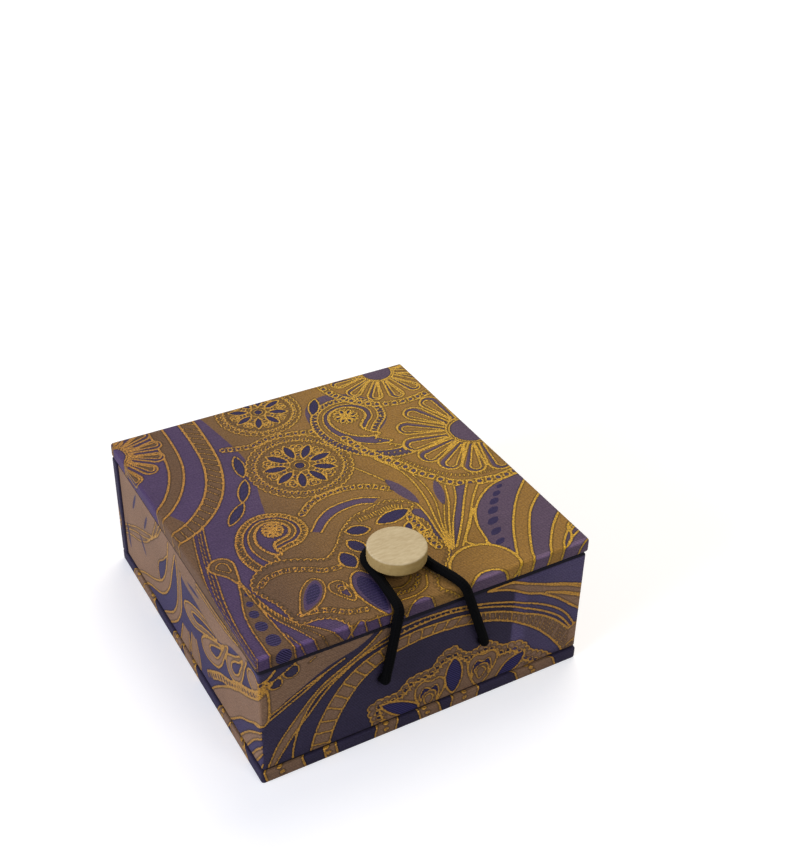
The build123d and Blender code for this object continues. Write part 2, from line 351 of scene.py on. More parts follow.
class Figure:
    """The woven figure at each place of a cover's cloth, as distances in mm, negative inside."""

    def __init__(self, cloth, ground):
        self.cloth = cloth
        self.gold = np.full(len(cloth), reach)
        self.leaf = np.full(len(cloth), reach)
        self.brown = np.full(len(cloth), -reach if ground == "brown" else reach)

    def around(self, line, more=0.0):
        """The places near a line."""
        low, high = line.min(0) - reach - more, line.max(0) + reach + more
        return np.flatnonzero(((self.cloth > low) & (self.cloth < high)).all(1))

    def from_spot(self, x, y, size):
        """The places near a round, and how far each one is from its edge."""
        near = np.flatnonzero((abs(self.cloth - (x, y)) < size + reach).all(1))
        return near, np.hypot(*(self.cloth[near] - (x, y)).T) - size

    def measure(self, line, closed=False):
        """The places near a line, and how far each one is from it."""
        near = self.around(line)
        at = self.cloth[near]
        gap = np.full(len(near), 1e6)
        inside = np.zeros(len(near), bool)
        for a, b in zip(line, np.roll(line, -1, 0) if closed else line[1:]):
            run = b - a
            share = np.clip(((at - a) @ run) / (run @ run + 1e-9), 0, 1)
            gap = np.minimum(gap, np.hypot(*(at - a - share[:, None] * run).T))
            if closed:
                crosses = (a[1] > at[:, 1]) != (b[1] > at[:, 1])
                across = a[0] + (at[:, 1] - a[1]) * run[0] / (run[1] or 1e-9)
                inside ^= crosses & (at[:, 0] < across)
        return near, np.where(inside, -gap, gap)

    def gild(self, near, gap):
        """Weaves gold thread over what is there."""
        self.gold[near] = np.minimum(self.gold[near], gap)

    def lay(self, near, gap, ground=None, width=thread_width):
        """Weaves a form over what is there, with a gold outline."""
        if ground:
            self.gold[near] = np.maximum(self.gold[near], -gap)
            if ground == "leaf":
                self.leaf[near] = np.minimum(self.leaf[near], gap)
            else:
                self.leaf[near] = np.maximum(self.leaf[near], -gap)
                brown = self.brown[near]
                covered = np.minimum(brown, gap) if ground == "brown" else np.maximum(brown, -gap)
                self.brown[near] = covered
        if width:
            self.gild(near, abs(gap) - width / 2)

    def stitch(self, line, width):
        """Gold thread along a line that is already cut into short pieces."""
        near, gap = self.measure(np.asarray(line, float))
        self.gild(near, gap - width / 2)

    def thread(self, points, width=thread_width, smooth=True):
        self.stitch(bent(points) if smooth else points, width)

    def form(self, points, ground=None, width=thread_width, smooth=True, lobes=0.0):
        """A closed form through points, with a scalloped edge if lobes gives their radius."""
        line = bent(points, closed=True) if smooth else np.array(points, float)
        near, gap = self.measure(line, closed=True)
        if lobes:
            for x, y in stations(np.vstack([line, line[:1]]), 1.75 * lobes):
                gap = np.minimum(gap, np.hypot(*(self.cloth[near] - (x, y)).T) - lobes)
        self.lay(near, gap, ground, width)

    def dots(self, points, spacing, size, ground=None, width=thread_width):
        """Discs or rings in a row along a smooth line."""
        line = bent(points)
        near = self.around(line, size)
        gap = np.full(len(near), 1e6)
        for x, y in stations(line, spacing):
            gap = np.minimum(gap, np.hypot(*(self.cloth[near] - (x, y)).T) - size)
        if ground or width:
            self.lay(near, gap, ground, width)
        else:
            self.gild(near, gap)

    def disc(self, x, y, size, ground=None, width=thread_width):
        self.lay(*self.from_spot(x, y, size), ground, width)

    def bead(self, x, y, size):
        self.gild(*self.from_spot(x, y, size))

    def rungs_between(self, one, other, shares, width):
        """Short threads across the stretch between two lines, at shares of their length."""
        for share in shares:
            self.stitch([line[int(share * (len(line) - 1))] for line in (one, other)], width)

    def band(self, one, other, ground, rungs=0, width=thread_width):
        """The stretch between two smooth lines, with rungs across it."""
        one, other = bent(one), bent(other)
        self.lay(*self.measure(np.vstack([one, other[::-1]]), closed=True), ground, 0)
        self.stitch(one, width)
        self.stitch(other, width)
        self.rungs_between(one, other, np.linspace(0, 1, rungs + 2)[1:-1], 0.42)

    def chain(self, points, spacing, size, width=0.42, ground="purple"):
        """A chain of dark ovals, each ringed in gold, between two fine lines."""
        line = bent(points)
        way = headings(line)
        for side in (-1, 1):
            self.stitch(line + side * (size + 0.35) * np.stack([-way[:, 1], way[:, 0]], 1), width)
        for x, y in stations(line, spacing):
            self.disc(x, y, size, ground, width)

    def fringe(self, points, spacing, length, width=0.42):
        """A row of short threads on one side of a line."""
        at = stations(bent(points), spacing)
        for (x, y), (way_x, way_y) in zip(at, headings(at)):
            self.stitch([(x, y), (x - length * way_y, y + length * way_x)], width)

    def blade(self, x, y, length, width, angle, ground="leaf", line=thread_width):
        """A pointed leaf."""
        t = np.linspace(-1, 1, 15)
        along, half = t * length / 2, width / 2 * (1 - t**2) ** 0.8
        shape = np.vstack([np.stack([along, half], 1), np.stack([along, -half], 1)[-2:0:-1]])
        self.form(set_at(shape, x, y, angle), ground, line, smooth=False)

    def petal(self, x, y, length, width, angle, ground, line=thread_width):
        """A drop that grows from x, y and is round at its tip."""
        turn, half = np.radians(np.linspace(112, -112, 17)), width / 2
        tip = np.stack([length - half + half * np.cos(turn), half * np.sin(turn)], 1)
        start = 0.02 * length
        shape = [[start - 0.2, 0], [start, 0.09 * width], *tip, [start, -0.09 * width]]
        self.form(set_at(shape, x, y, angle), ground, line, smooth=False)

    def daisy(self, x, y, size, petals=8, ground="brown"):
        """A round flower with dark pointed petals and a ringed eye."""
        self.disc(x, y, size * 1.02, ground, 0)
        for at in range(petals):
            angle = at * 360 / petals
            self.blade(*out_from(x, y, 0.64 * size, angle), 0.66 * size, 0.34 * size, angle)
            self.bead(*out_from(x, y, 0.93 * size, angle + 180 / petals), 0.42)
        self.disc(x, y, size * 0.26, "brown")
        self.disc(x, y, size * 0.12, "purple", 0.4)

    def sunflower(self, x, y, eye, size, tips, width, ground="brown"):
        """A great flower: a dark eye, rays round it, then loops with a dark crescent in each."""
        for at, angle in enumerate(np.linspace(0, 360, int(5.2 * eye), endpoint=False)):
            far = eye + (3.2 if at % 2 else 2.2)
            self.stitch([out_from(x, y, eye + 0.6, angle), out_from(x, y, far, angle)], 0.45)
        for angle in tips:
            near, inner = out_from(x, y, 0.95 * eye, angle), out_from(x, y, 1.2 * eye, angle)
            side_x, side_y = out_from(*out_from(x, y, 1.3 * eye, angle), 0.07 * width, angle + 90)
            self.petal(*near, size - eye, width, angle, ground, 0.7)
            length = size - 1.2 * eye - 0.1 * width
            self.petal(*inner, length, 0.76 * width, angle, "purple", 0)
            length = size - 1.3 * eye - 0.26 * width
            self.petal(side_x, side_y, length, 0.46 * width, angle, ground, 0.6)
        self.disc(x, y, eye * 1.14, ground, 0.5)
        self.disc(x, y, eye, "purple", 0.5)

    def heart(self, x, y, size, angle=90.0):
        """A small ringed heart with a curl in it."""
        shape = [(-0.9, 0), (0.1, -0.85), (0.75, -0.8), (0.95, -0.35), (0.7, 0), (0.95, 0.35)]
        shape += [(0.75, 0.8), (0.1, 0.85)]
        rings = ((1.0, "brown", 0.5), (0.72, "purple", 0), (0.46, "brown", 0.45))
        for share, ground, line in rings:
            self.form(set_at(shape, x, y, angle, size * share), ground, line)

    def medallion(self, x, y, size, petals=8, start=0.0, ground="brown"):
        """A round of dark pointed leaves and hearts inside a laced and scalloped edge."""
        rim = round_line(x, y, size, size, 40)
        self.form(rim, ground, 0.5, lobes=0.085 * size)
        inner = [(x + (px - x) * 0.93, y + (py - y) * 0.93) for px, py in rim]
        for px, py in stations(np.array([*inner, inner[0]]), 0.135 * size):
            self.disc(px, py, 0.042 * size, "purple", 0.4)
        inner = [(x + (px - x) * 0.83, y + (py - y) * 0.83) for px, py in rim]
        self.form(inner, ground, 0.45, lobes=0.06 * size)
        for at in range(petals):
            angle = start + at * 360 / petals
            self.blade(*out_from(x, y, 0.5 * size, angle), 0.52 * size, 0.2 * size, angle)
            half = angle + 180 / petals
            self.heart(*out_from(x, y, 0.62 * size, half), 0.13 * size, half)
            self.disc(*out_from(x, y, 0.38 * size, half), 0.05 * size, "purple", 0.4)
        self.disc(x, y, 0.2 * size, ground, 0.5)
        self.disc(x, y, 0.11 * size, "leaf", 0.4)

    def paisley(self, x, y, size, angle, flip=1, ground="purple", inner="brown"):
        """A bent drop in nested rings, laced along its outer edge, with a flower in its belly."""
        spine = [(-2.6, 0.1), (-2.3, 1.6), (-0.9, 2.5), (0.9, 2.3), (2.2, 1.1), (2.5, -0.7)]
        spine += [(1.8, -2.6), (0.2, -4.2), (-2.2, -5.0), (-4.0, -4.6), (-2.6, -3.9), (-1.6, -2.6)]
        spine = np.array([*spine, (-2.0, -1.2)]) * (1, flip)
        middle = np.array([(0.1, 0.3 * flip)])
        rings = ((1.0, ground, 0.17), (0.86, inner, 0), (0.70, ground, 0), (0.5, inner, 0.11))
        for share, field, lobes in rings:
            shape = set_at(middle + (spine - middle) * share, x, y, angle, size)
            self.form(shape, field, 0.55, lobes=lobes * size)
        edge = set_at(middle + (spine - middle) * 0.93, x, y, angle, size)
        for px, py in stations(bent(edge, closed=True), 0.42 * size):
            self.bead(px, py, 0.09 * size)
        self.daisy(*set_at(middle, x, y, angle, size)[0], 0.95 * size, ground=inner)


def weave(piece, draw, ground="brown"):
    """Draws the figure on a cover whose mesh says where its cloth lies."""
    mesh = piece.data
    lies = np.empty(len(mesh.vertices) * 3, np.float32)
    mesh.attributes["cloth"].data.foreach_get("vector", lies)
    figure = Figure(lies.reshape(-1, 3)[:, :2].astype(float), ground)
    draw(figure)
    for name in ("gold", "leaf", "brown"):
        layer = mesh.attributes.new(name, "FLOAT", "POINT")
        field = np.clip(getattr(figure, name), -reach, reach)
        layer.data.foreach_set("value", field.astype(np.float32))


# Figured silk brocade, woven. It gives the eye a ribbed ground that shifts between purple and
# brown, dark satin leaves and raised gold thread. Ribs are drawn at 0.55 mm so that they show.
rib_spacing, satin_spacing = 0.55, 0.8
edge_wander = 0.3  # how far the edges of the woven forms wander, in mm


def brocade_for(name, right, left):
    """The silk, with its colours at the right and at the left; where they differ, the shift from
    one to the other is painted light, mostly brighter and warmer toward the right.
    """
    material, tree = new_material(name)
    lies = add(tree, "Attribute", attribute_name="cloth").outputs["Vector"]
    across, along, _ = add(tree, "SeparateXYZ", [lies]).outputs
    wobble = add(tree, "TexNoise", {"Vector": lies, "Scale": 1.1, "Detail": 1.0})
    fields, uneven = {}, {}
    for field, soft in (("gold", 0.08), ("leaf", 0.09), ("brown", 0.13)):
        layer = add(tree, "Attribute", attribute_name=field).outputs["Fac"]
        uneven[field] = add(tree, "Math", [wobble, edge_wander, layer], operation="MULTIPLY_ADD")
        ends = [uneven[field], edge_wander / 2 + soft, edge_wander / 2 - soft]
        fields[field] = add(tree, "MapRange", ends, interpolation_type="SMOOTHSTEP")

    turns = add(tree, "Math", [along, 2 * pi / rib_spacing], operation="MULTIPLY")
    ribs = add(tree, "Math", [turns], operation="SINE")
    turns = add(tree, "Math", [across, 2 * pi / satin_spacing], operation="MULTIPLY")
    turns = add(tree, "Math", [along, 2 * pi / satin_spacing, turns], operation="MULTIPLY_ADD")
    satin_lines = add(tree, "Math", [turns], operation="SINE")
    grain = add(tree, "TexNoise", {"Vector": lies, "Scale": 1.9, "Detail": 3.0, "Roughness": 0.7})
    clouds = add(tree, "TexNoise", {"Vector": lies, "Scale": 0.045, "Detail": 2.0})
    drawn_out = add(tree, "Mapping", {"Vector": lies, "Scale": (0.16, 2.4, 1.0)})
    slubs = add(tree, "TexNoise", {"Vector": drawn_out, "Scale": 1.0, "Detail": 2.0})

    # painted light across the cover: the share of the right colours grows from left to right
    painted_light_across = add(tree, "MapRange", [across, -34.0, 20.0])
    cloths = {}
    for part, by, low, high in (
        ("brown", grain, 0.3, 0.72),
        ("purple", grain, 0.28, 0.74),
        ("leaf", satin_lines, -0.15, 0.6),
        ("gold", grain, 0.36, 0.62),
    ):
        share = add(tree, "MapRange", [by, low, high])
        dark, light = (
            add(tree, "Mix", {0: painted_light_across, 6: colour(one), 7: colour(other)}, data_type="RGBA")
            for one, other in zip(left[part], right[part])
        )
        cloths[part] = add(tree, "Mix", {0: share, 6: dark, 7: light}, data_type="RGBA")
    # painted light and shade: the lit attribute makes the purple and the brown lighter or darker
    # where it is set
    lit = add(tree, "Attribute", attribute_name="lit").outputs["Fac"]
    for part, share in (("purple", 2.4), ("brown", 0.35)):
        by = add(tree, "Math", [lit, share, 1.0], operation="MULTIPLY_ADD")
        painted_light_inputs = {0: cloths[part], "Scale": by}
        cloths[part] = add(tree, "VectorMath", painted_light_inputs, operation="SCALE")

    # the ground, with its ribs, slubs and clouds, and painted shade along the gold thread's edges
    face = cloths["purple"]
    for part in ("brown", "leaf"):
        face = add(tree, "Mix", {0: fields[part], 6: face, 7: cloths[part]}, data_type="RGBA")
    for tone in (
        add(tree, "MapRange", [slubs, 0.25, 0.75, 0.88, 1.12]),
        add(tree, "MapRange", [clouds, 0.3, 0.7, 0.9, 1.1]),
        add(tree, "Math", [ribs, 0.17, 1.0], operation="MULTIPLY_ADD"),
        add(
            tree,
            "MapRange",
            [uneven["gold"], 0.22, 0.7, 0.5, 1.0],
            interpolation_type="SMOOTHSTEP",
        ),
    ):
        face = add(tree, "VectorMath", {0: face, "Scale": tone}, operation="SCALE")
    face = add(tree, "Mix", {0: fields["gold"], 6: face, 7: cloths["gold"]}, data_type="RGBA")
    lift = add(tree, "Math", [ribs, 0.16, fields["gold"]], operation="MULTIPLY_ADD")
    lift = add(tree, "Math", [grain, 0.7, lift], operation="MULTIPLY_ADD")
    silk = add(
        tree,
        "BsdfPrincipled",
        {
            "Base Color": face,
            "Roughness": add(tree, "MapRange", [fields["gold"], 0.0, 1.0, 0.56, 0.38]),
            "Metallic": add(tree, "Math", [fields["gold"], 0.45], operation="MULTIPLY"),
            "Specular IOR Level": 0.1,
            "Sheen Weight": 0.02,
            "Sheen Roughness": 0.45,
            "Sheen Tint": colour("#d8c9c4"),
            "Normal": add(tree, "Bump", {"Strength": 0.9, "Distance": 0.2 * MM, "Height": lift}),
        },
    )
    add(tree, "OutputMaterial", [silk])
    return material


# the lid's left colours are darker and cooler than its right ones, as painted light; the walls get
# one set of colours on both sides
lid_silk = brocade_for(
    "silk_brocade_lid",
    {
        "brown": ("#735428", "#a67c38"),
        "purple": ("#43344a", "#62505f"),
        "leaf": ("#19123a", "#372d50"),
        "gold": ("#765820", "#bf9629"),
    },
    {
        "brown": ("#4f3a2a", "#72563e"),
        "purple": ("#392a4b", "#554361"),
        "leaf": ("#0d082c", "#443a60"),
        "gold": ("#6a4a22", "#a87832"),
    },
)
wall_dyes = {
    "brown": ("#674e3c", "#8a6c52"),
    "purple": ("#231e2f", "#352f45"),
    "leaf": ("#1c183a", "#37325e"),
    "gold": ("#8a6230", "#d09a3c"),
}
wall_silk = brocade_for("silk_brocade_walls", wall_dyes, wall_dyes)


def wrapped(
    name, half, low, high, thick, *, step, corner, edge, under_edge, turns, place, lies, material
):
    """A cover drawn tight over a board. It starts as a grid on the board's face, goes over the
    edges and a little way round the back, and is closed there. All sizes are in mm: step is the
    grid's, corner, edge and under_edge are radii, and turns say how far round the back each
    further row lies. place says where a point of the face is, and lies where its cloth is."""
    form = bmesh.new()
    deep, middle = high - low, (low + high) / 2
    squares = {"x_segments": int(2 * half / step), "y_segments": int(deep / step)}
    bmesh.ops.create_grid(form, size=0.5, **squares)
    bmesh.ops.scale(form, vec=(2 * half, deep, 1), verts=form.verts)
    bmesh.ops.translate(form, vec=(0, middle, 0), verts=form.verts)
    layer = form.verts.layers.float.new("run")
    rim = [e for e in form.edges if e.is_boundary]
    rows = int(round(thick / step))
    runs = [thick * (k + 1) / rows for k in range(rows)]
    for run in [*runs, *(thick + turn for turn in turns)]:
        made = bmesh.ops.extrude_edge_only(form, edges=rim)["geom"]
        rim = [g for g in made if isinstance(g, bmesh.types.BMEdge)]
        for vertex in {v for e in rim for v in e.verts}:
            vertex[layer] = run
    bmesh.ops.contextual_create(form, geom=rim)
    cloth = form.verts.layers.float_vector.new("cloth")
    x = np.array([v.co.x for v in form.verts])
    y = np.array([v.co.y for v in form.verts])
    run = np.array([v[layer] for v in form.verts])
    lies_at = lies(x, y, run, half, low, high)

    # the edges are rounded, where the face turns down and where the side turns under
    inset = np.minimum(half - abs(x), np.minimum(y - low, high - y))
    inset = np.where(run > 0, 0, inset)
    run_at = np.where(run > 0, run, -inset)
    depth = np.clip(run_at, 0, thick)
    new_inset = np.where(run_at > thick, run_at - thick, np.maximum(-run_at, 0))
    for at, radius, sign in ((0.0, edge, 1), (thick, under_edge, -1)):
        near = abs(run_at - at) < radius
        out = radius - new_inset[near]
        tall = radius - abs(depth[near] - at)
        share = np.maximum(out, tall) / np.hypot(out, tall)
        new_inset[near] = radius - out * share
        depth[near] = at + sign * (radius - tall * share)
    x = x * (half - new_inset) / np.maximum(half - inset, 1e-6)
    y = y - middle
    y = y * (deep / 2 - new_inset) / np.maximum(deep / 2 - inset, 1e-6)

    # and so are the corners
    bend = np.maximum(corner - new_inset, 0.02)
    core_x, core_y = half - new_inset - bend, deep / 2 - new_inset - bend
    over_x, over_y = abs(x) - core_x, abs(y) - core_y
    near = (over_x > 0) & (over_y > 0)
    share = np.ones(len(x))
    share[near] = np.maximum(over_x, over_y)[near] / np.hypot(over_x, over_y)[near]
    x = np.where(near, np.sign(x) * (core_x + over_x * share), x)
    y = np.where(near, np.sign(y) * (core_y + over_y * share), y)
    spots = np.stack(place(x, middle + y, depth), axis=1) * MM
    for vertex, spot, at in zip(form.verts, spots, lies_at):
        vertex.co = spot
        vertex[cloth] = at
    bmesh.ops.recalc_face_normals(form, faces=form.faces)
    return new_piece(name, form, material)


def case_cloth(x, y, run, half, low, high):
    """Where the case's cloth lies flat: the face's own x and y, and on past each edge."""
    on_side, hair = run > 0, 1e-3
    at_left, at_right = on_side & (x < -half + hair), on_side & (x > half - hair)
    at_front, at_back = on_side & (y < low + hair), on_side & (y > high - hair)
    u = np.where(at_left, x - run, np.where(at_right, x + run, x))
    v = np.where(at_front, y - run, np.where(at_back, y + run, y))
    u = np.where(at_front | at_back, x, u)
    return np.stack([u, v, 0 * u], axis=1)


# Lid. A greyboard covered in thin wadding and brocade, its edges softened by the padding. The
# cloth goes on over the back edge as the hinge.
case_half, case_front, case_back = 50.0, -52.5, 52.5
lid_under, lid_top = 39.7, 44.0
lid_cover = wrapped(
    "lid_cover", case_half, case_front, case_back, lid_top - lid_under,
    step=0.41, corner=0.9, edge=0.9, under_edge=0.5, turns=(1.0, 2.0, 3.0, 4.0, 5.0, 12.0),
    place=lambda x, y, depth: (x, y, lid_top - depth), lies=case_cloth, material=lid_silk,
)


def draw_right_arcs(f):
    """The bands that sweep round the half disc, and the great flower's stems."""
    field = [(23.5, -60), (24.2, -47), (24.4, -41.7), (25.4, -34.5), (29.2, -26.7), (35.8, -20.8),
            (43.3, -18), (58, -17)]
    one = [(26.5, -60), (27.5, -51.7), (30, -45.8), (34.2, -38.3), (38.3, -32.5), (43.3, -26.7),
            (50, -20.8), (58, -16)]
    two = [(30.5, -60), (32, -51.7), (34.3, -46.7), (38.9, -39.2), (43.6, -33.3), (50, -28.3),
            (58, -24)]
    three = [(35.5, -60), (37.5, -52), (40.4, -47.5), (44.6, -42.6), (50, -38), (58, -33)]
    four = [(40, -60), (41.8, -52), (44.2, -48.8), (47, -46.4), (50, -44.6), (58, -41)]
    f.band(field, one, "purple", width=0.7)
    for x, y, size in ((41.3, -20.4, 0.9), (38.6, -23, 1.2), (36, -25.8, 1.4), (33.4, -29.2, 1.55),
            (30.8, -33.2, 1.6), (29, -37.5, 1.5), (27.6, -41.7, 1.3), (27, -45.8, 1.1),
            (26, -49.5, 0.8)):
        f.blade(x, y, 3.0 * size, 1.5 * size, 25, "leaf", 0)
    f.band(one, two, "brown", width=0.7)
    f.band(two, three, "purple", width=0.7)
    f.band(three, four, "brown", width=0.7)
    f.form([(43, -70), (46, -55), (50, -51.4), (62, -49), (62, -70)], "purple", 0, smooth=False)
    f.band(four, [(46, -60), (47, -55), (50, -52), (58, -50)], "purple", width=0.6)
    for lean in (0.0, 2.2, 4.4):
        f.thread([(42.2, -52.6), (44.5 + 0.4 * lean, -50.6 + 0.3 * lean), (48, -48.6 + 0.9 * lean),
                (54, -46.4 + lean)], 0.6)


def draw_flower(f):
    """The great flower at the right, with the chain and the fringe round it."""
    f.chain([(13, 22), (16, 12), (20.8, 3), (23.6, -3), (26.7, -7.6), (29.6, -11.8), (33.6, -14.6),
            (38.6, -15.8), (44.2, -16.6), (50, -16), (58, -15)], 3.0, 1.0, 0.55)
    f.fringe([(22, 4.6), (24.6, -0.4), (27.6, -5), (30.8, -8.8), (34.6, -11.4), (39.2, -12.6),
            (44.6, -13.2), (52, -13)], 1.3, 1.1)
    f.sunflower(49.2, 8.3, 6.3, 22.5, (99, 124, 150, 177, 199, 220, 242, 266, 290), 7.0)


def draw_stems(f):
    """The fan of stems that rises from beside the button to the great flower."""
    f.form([(12.2, -19), (16, -20), (15.6, -30), (14.4, -37.5), (11.4, -41), (12, -30)],
            "purple", 0)
    root, lower_root = (14.2, -38.6), (14.9, -38.4)
    fourth = [lower_root, (20.8, -28.4), (26.8, -20), (29.6, -14.6)]
    fifth = [(15.8, -38.3), (22.5, -30), (29.4, -20.4), (33.6, -15)]
    f.band([root, (14.8, -30), (16, -22), (15.6, -12), (13, -2), (8, 8)],
            [root, (16.6, -27), (19.2, -17), (20.3, -8), (19.6, 0), (16, 8)], "brown", width=0.62)
    f.blade(15.2, -9.4, 15, 3.6, 102, "purple", 0)
    f.band([root, (17.4, -28), (21.2, -18), (22.4, -10), (21.9, -3)],
            [root, (18.2, -28.4), (23, -19.6), (25.8, -11.4)], "brown", width=0.46)
    f.blade(24.4, -14.8, 12, 2.8, 72, "purple", 0)
    f.band([root, (19.4, -28.6), (24.6, -19.6), (27.5, -12.8)], fourth, "brown", width=0.6)
    f.band(fourth, fifth, "purple", width=0.46)
    f.band(fifth, [(17.6, -38.6), (24.4, -30.8), (31.4, -21.9), (36.7, -16.2)],
            "brown", width=0.65)
    f.form([(19.4, -37.4), (24.2, -31.6), (28.8, -26), (26, -32.6), (24.6, -39.4), (23, -41)],
            "brown", 0.7)


def draw_button_medallion(f):
    """The laced medallion that the button stands in."""
    edge = [(-38.6, -30.4), (-37.4, -33.4), (-36, -36.4), (-35.2, -41), (-34.4, -45.2),
            (-30.6, -45.4), (-27, -46.6), (-24.4, -49.4), (-22.4, -54), (-20, -60), (8, -60),
            (2.6, -51), (4.6, -45.8), (8.8, -42.6), (12.8, -37.6), (12.2, -31), (13.4, -25),
            (11.4, -19.6), (14, -15.6), (9, -12.2), (3, -13), (-3, -14.4), (-8.4, -18.6),
            (-12, -23), (-17, -26.6), (-21.4, -25.2), (-26.6, -22.6), (-32, -21.8), (-36.6, -24),
            (-39, -27.4)]
    f.form(edge, "brown", 0.46, lobes=1.0)
    f.chain([(-33.4, -42.6), (-29, -43.4), (-25.6, -44.8), (-22.2, -47.4), (-17.4, -48.8)],
            2.1, 0.5, 0.36)
    f.chain([(-38, -28.4), (-34.6, -26), (-29, -25.6), (-24, -27.6), (-20, -30.2), (-15.6, -30.8)],
            2.1, 0.5, 0.36)
    f.fringe([(-2.4, -14.6), (3, -14.2), (8.6, -13.4), (12, -14.6)], 0.9, -1.9, 0.45)
    f.chain([(11.2, -21), (11.4, -26), (11, -31), (11.6, -36)], 2.3, 0.8, 0.45)
    f.form([(-32.8, -43), (-31.4, -38.6), (-28.6, -34), (-25, -31.6), (-22.7, -33.4),
            (-23.2, -36.8), (-25.6, -40.2), (-28.8, -42.2)], "brown", 0.5)
    f.form([(-31.4, -42), (-29.8, -37.4), (-26.6, -33.6), (-24, -32.6), (-23.6, -35.4),
            (-25.4, -39), (-28.4, -41.2)], "purple", 0)
    f.form([(-30, -40.2), (-28.6, -36.6), (-26.2, -34), (-24.4, -34), (-24.6, -36.6),
            (-27, -39.4)], "leaf", 0)
    f.form([(-18.6, -44.4), (-20.8, -41.6), (-22.4, -38.2), (-21.4, -35.6), (-18.4, -35.8),
            (-17.2, -39.4), (-17.4, -42.6)], "brown", 0.5)
    f.form([(-18.8, -42.8), (-20.6, -39.6), (-20, -37), (-18.4, -37.4), (-18.2, -40.2)],
            "purple", 0.4)
    f.disc(-19.4, -38.8, 0.8, "brown", 0.4)
    f.form([(-13, -53.5), (-16.2, -47), (-17, -41), (-15.4, -36), (-12.6, -34.4), (-10.2, -37),
            (-9.2, -42), (-10.4, -48.4)], "purple", 0.6)
    f.form([(-13, -51.8), (-15.2, -46), (-15.4, -40), (-13.4, -36.6), (-11.2, -39), (-10.8, -45)],
            "leaf", 0)
    for x, y, length, width, angle in ((-12.6, -29.4, 7.6, 4.8, 94), (-7.8, -25.2, 7.0, 4.2, 112),
            (-4.4, -19.4, 7.2, 4.2, 164), (7.2, -18.4, 11.4, 4.8, 8), (8.6, -24.8, 5, 2.6, 60)):
        f.blade(x, y, length, width, angle, "leaf", 0.6)
    f.heart(11.6, -29.6, 1.6, 80)
    f.dots([(-8.2, -47.2), (-4, -47.6), (-1, -46), (0.6, -43.4)], 1.5, 0.55, "purple", 0.42)
    f.thread([(-9, -44.8), (-5, -45.4), (-2, -44), (-0.6, -41.6)], 0.5)
    f.thread([(-9, -49.8), (-4, -50), (0.4, -48.4), (2.8, -44)], 0.5)
    f.dots([(2.6, -41.4), (3.8, -43), (4.6, -44.8)], 1.0, 0.4, width=0)
    f.form([(-7.6, -62), (-7, -54), (-3.6, -51.4), (-0.4, -53), (1, -62)], "purple", 0.5)
    f.form([(-22, -52.4), (-18.6, -53), (-15.4, -52.9), (-12.4, -53.4), (-9.4, -53), (-8.4, -62),
            (-26, -62)], "purple", 0.45)
    for x, lean in ((-24.6, 1.6), (-20.2, 1.2), (-16.4, 1.4), (-11.8, -1.0)):
        f.thread([(x, -52.2), (x + 0.4 * lean, -54.4), (x + lean, -58)], 0.42)


def draw_left_front(f):
    """The tapered band of ovals and the lines beside it."""
    bundle = [(-40.6, 4), (-43.8, -8), (-46.4, -20), (-48.6, -32), (-49.6, -44), (-49.8, -60)]
    f.form([*[(x - 3.2, y) for x, y in bundle], (-70, -60), (-70, 12), (-48, 12)],
            "brown", 0, smooth=False)
    for shift, width in ((0, 0.42), (1.0, 0.3), (1.8, 0.3), (3.2, 0.42)):
        f.thread([(x - shift, y) for x, y in bundle], width)
    f.form([(-46.8, -16.6), (-45.4, -13.6), (-42.4, -13), (-40.2, -15.4), (-40.6, -19.6),
            (-42, -24.6), (-43.6, -21)], "brown", 0.6)
    f.form([(-45, -16.4), (-43.4, -14.8), (-41.8, -16), (-42.2, -19.4)], "brown", 0.45)
    f.band([(-42, -23.6), (-43.8, -30), (-45.4, -35), (-46.2, -40), (-46.4, -46), (-46, -60)],
            [(-41.6, -23.6), (-41.4, -30), (-41, -38), (-40.4, -45), (-39, -60)],
            "brown", width=0.46)
    for x, y, size in ((-42.2, -29.4, 0.6), (-42.9, -33.1, 1.0), (-43.5, -37.1, 1.35),
            (-43.7, -42, 1.65), (-43.2, -47.9, 1.95), (-42.6, -54.4, 2.2)):
        f.form(round_line(x, y, size, 1.15 * size, 14), "leaf", 0)
    f.band([(-42, -25), (-41.2, -34), (-39.6, -41), (-37.4, -45.6), (-34.8, -51), (-32, -60)],
            [(-41.6, -25), (-39.4, -36), (-36.8, -42.6), (-34.2, -46.4), (-29.6, -51.4),
            (-24, -60)], "brown", width=0.46)
    f.thread([(-40.6, -34), (-38.4, -41), (-36, -45.6), (-32.6, -51), (-29, -60)], 0.34)
    f.thread([(-39.6, -47), (-38.4, -51.4), (-35.6, -60)], 0.4)


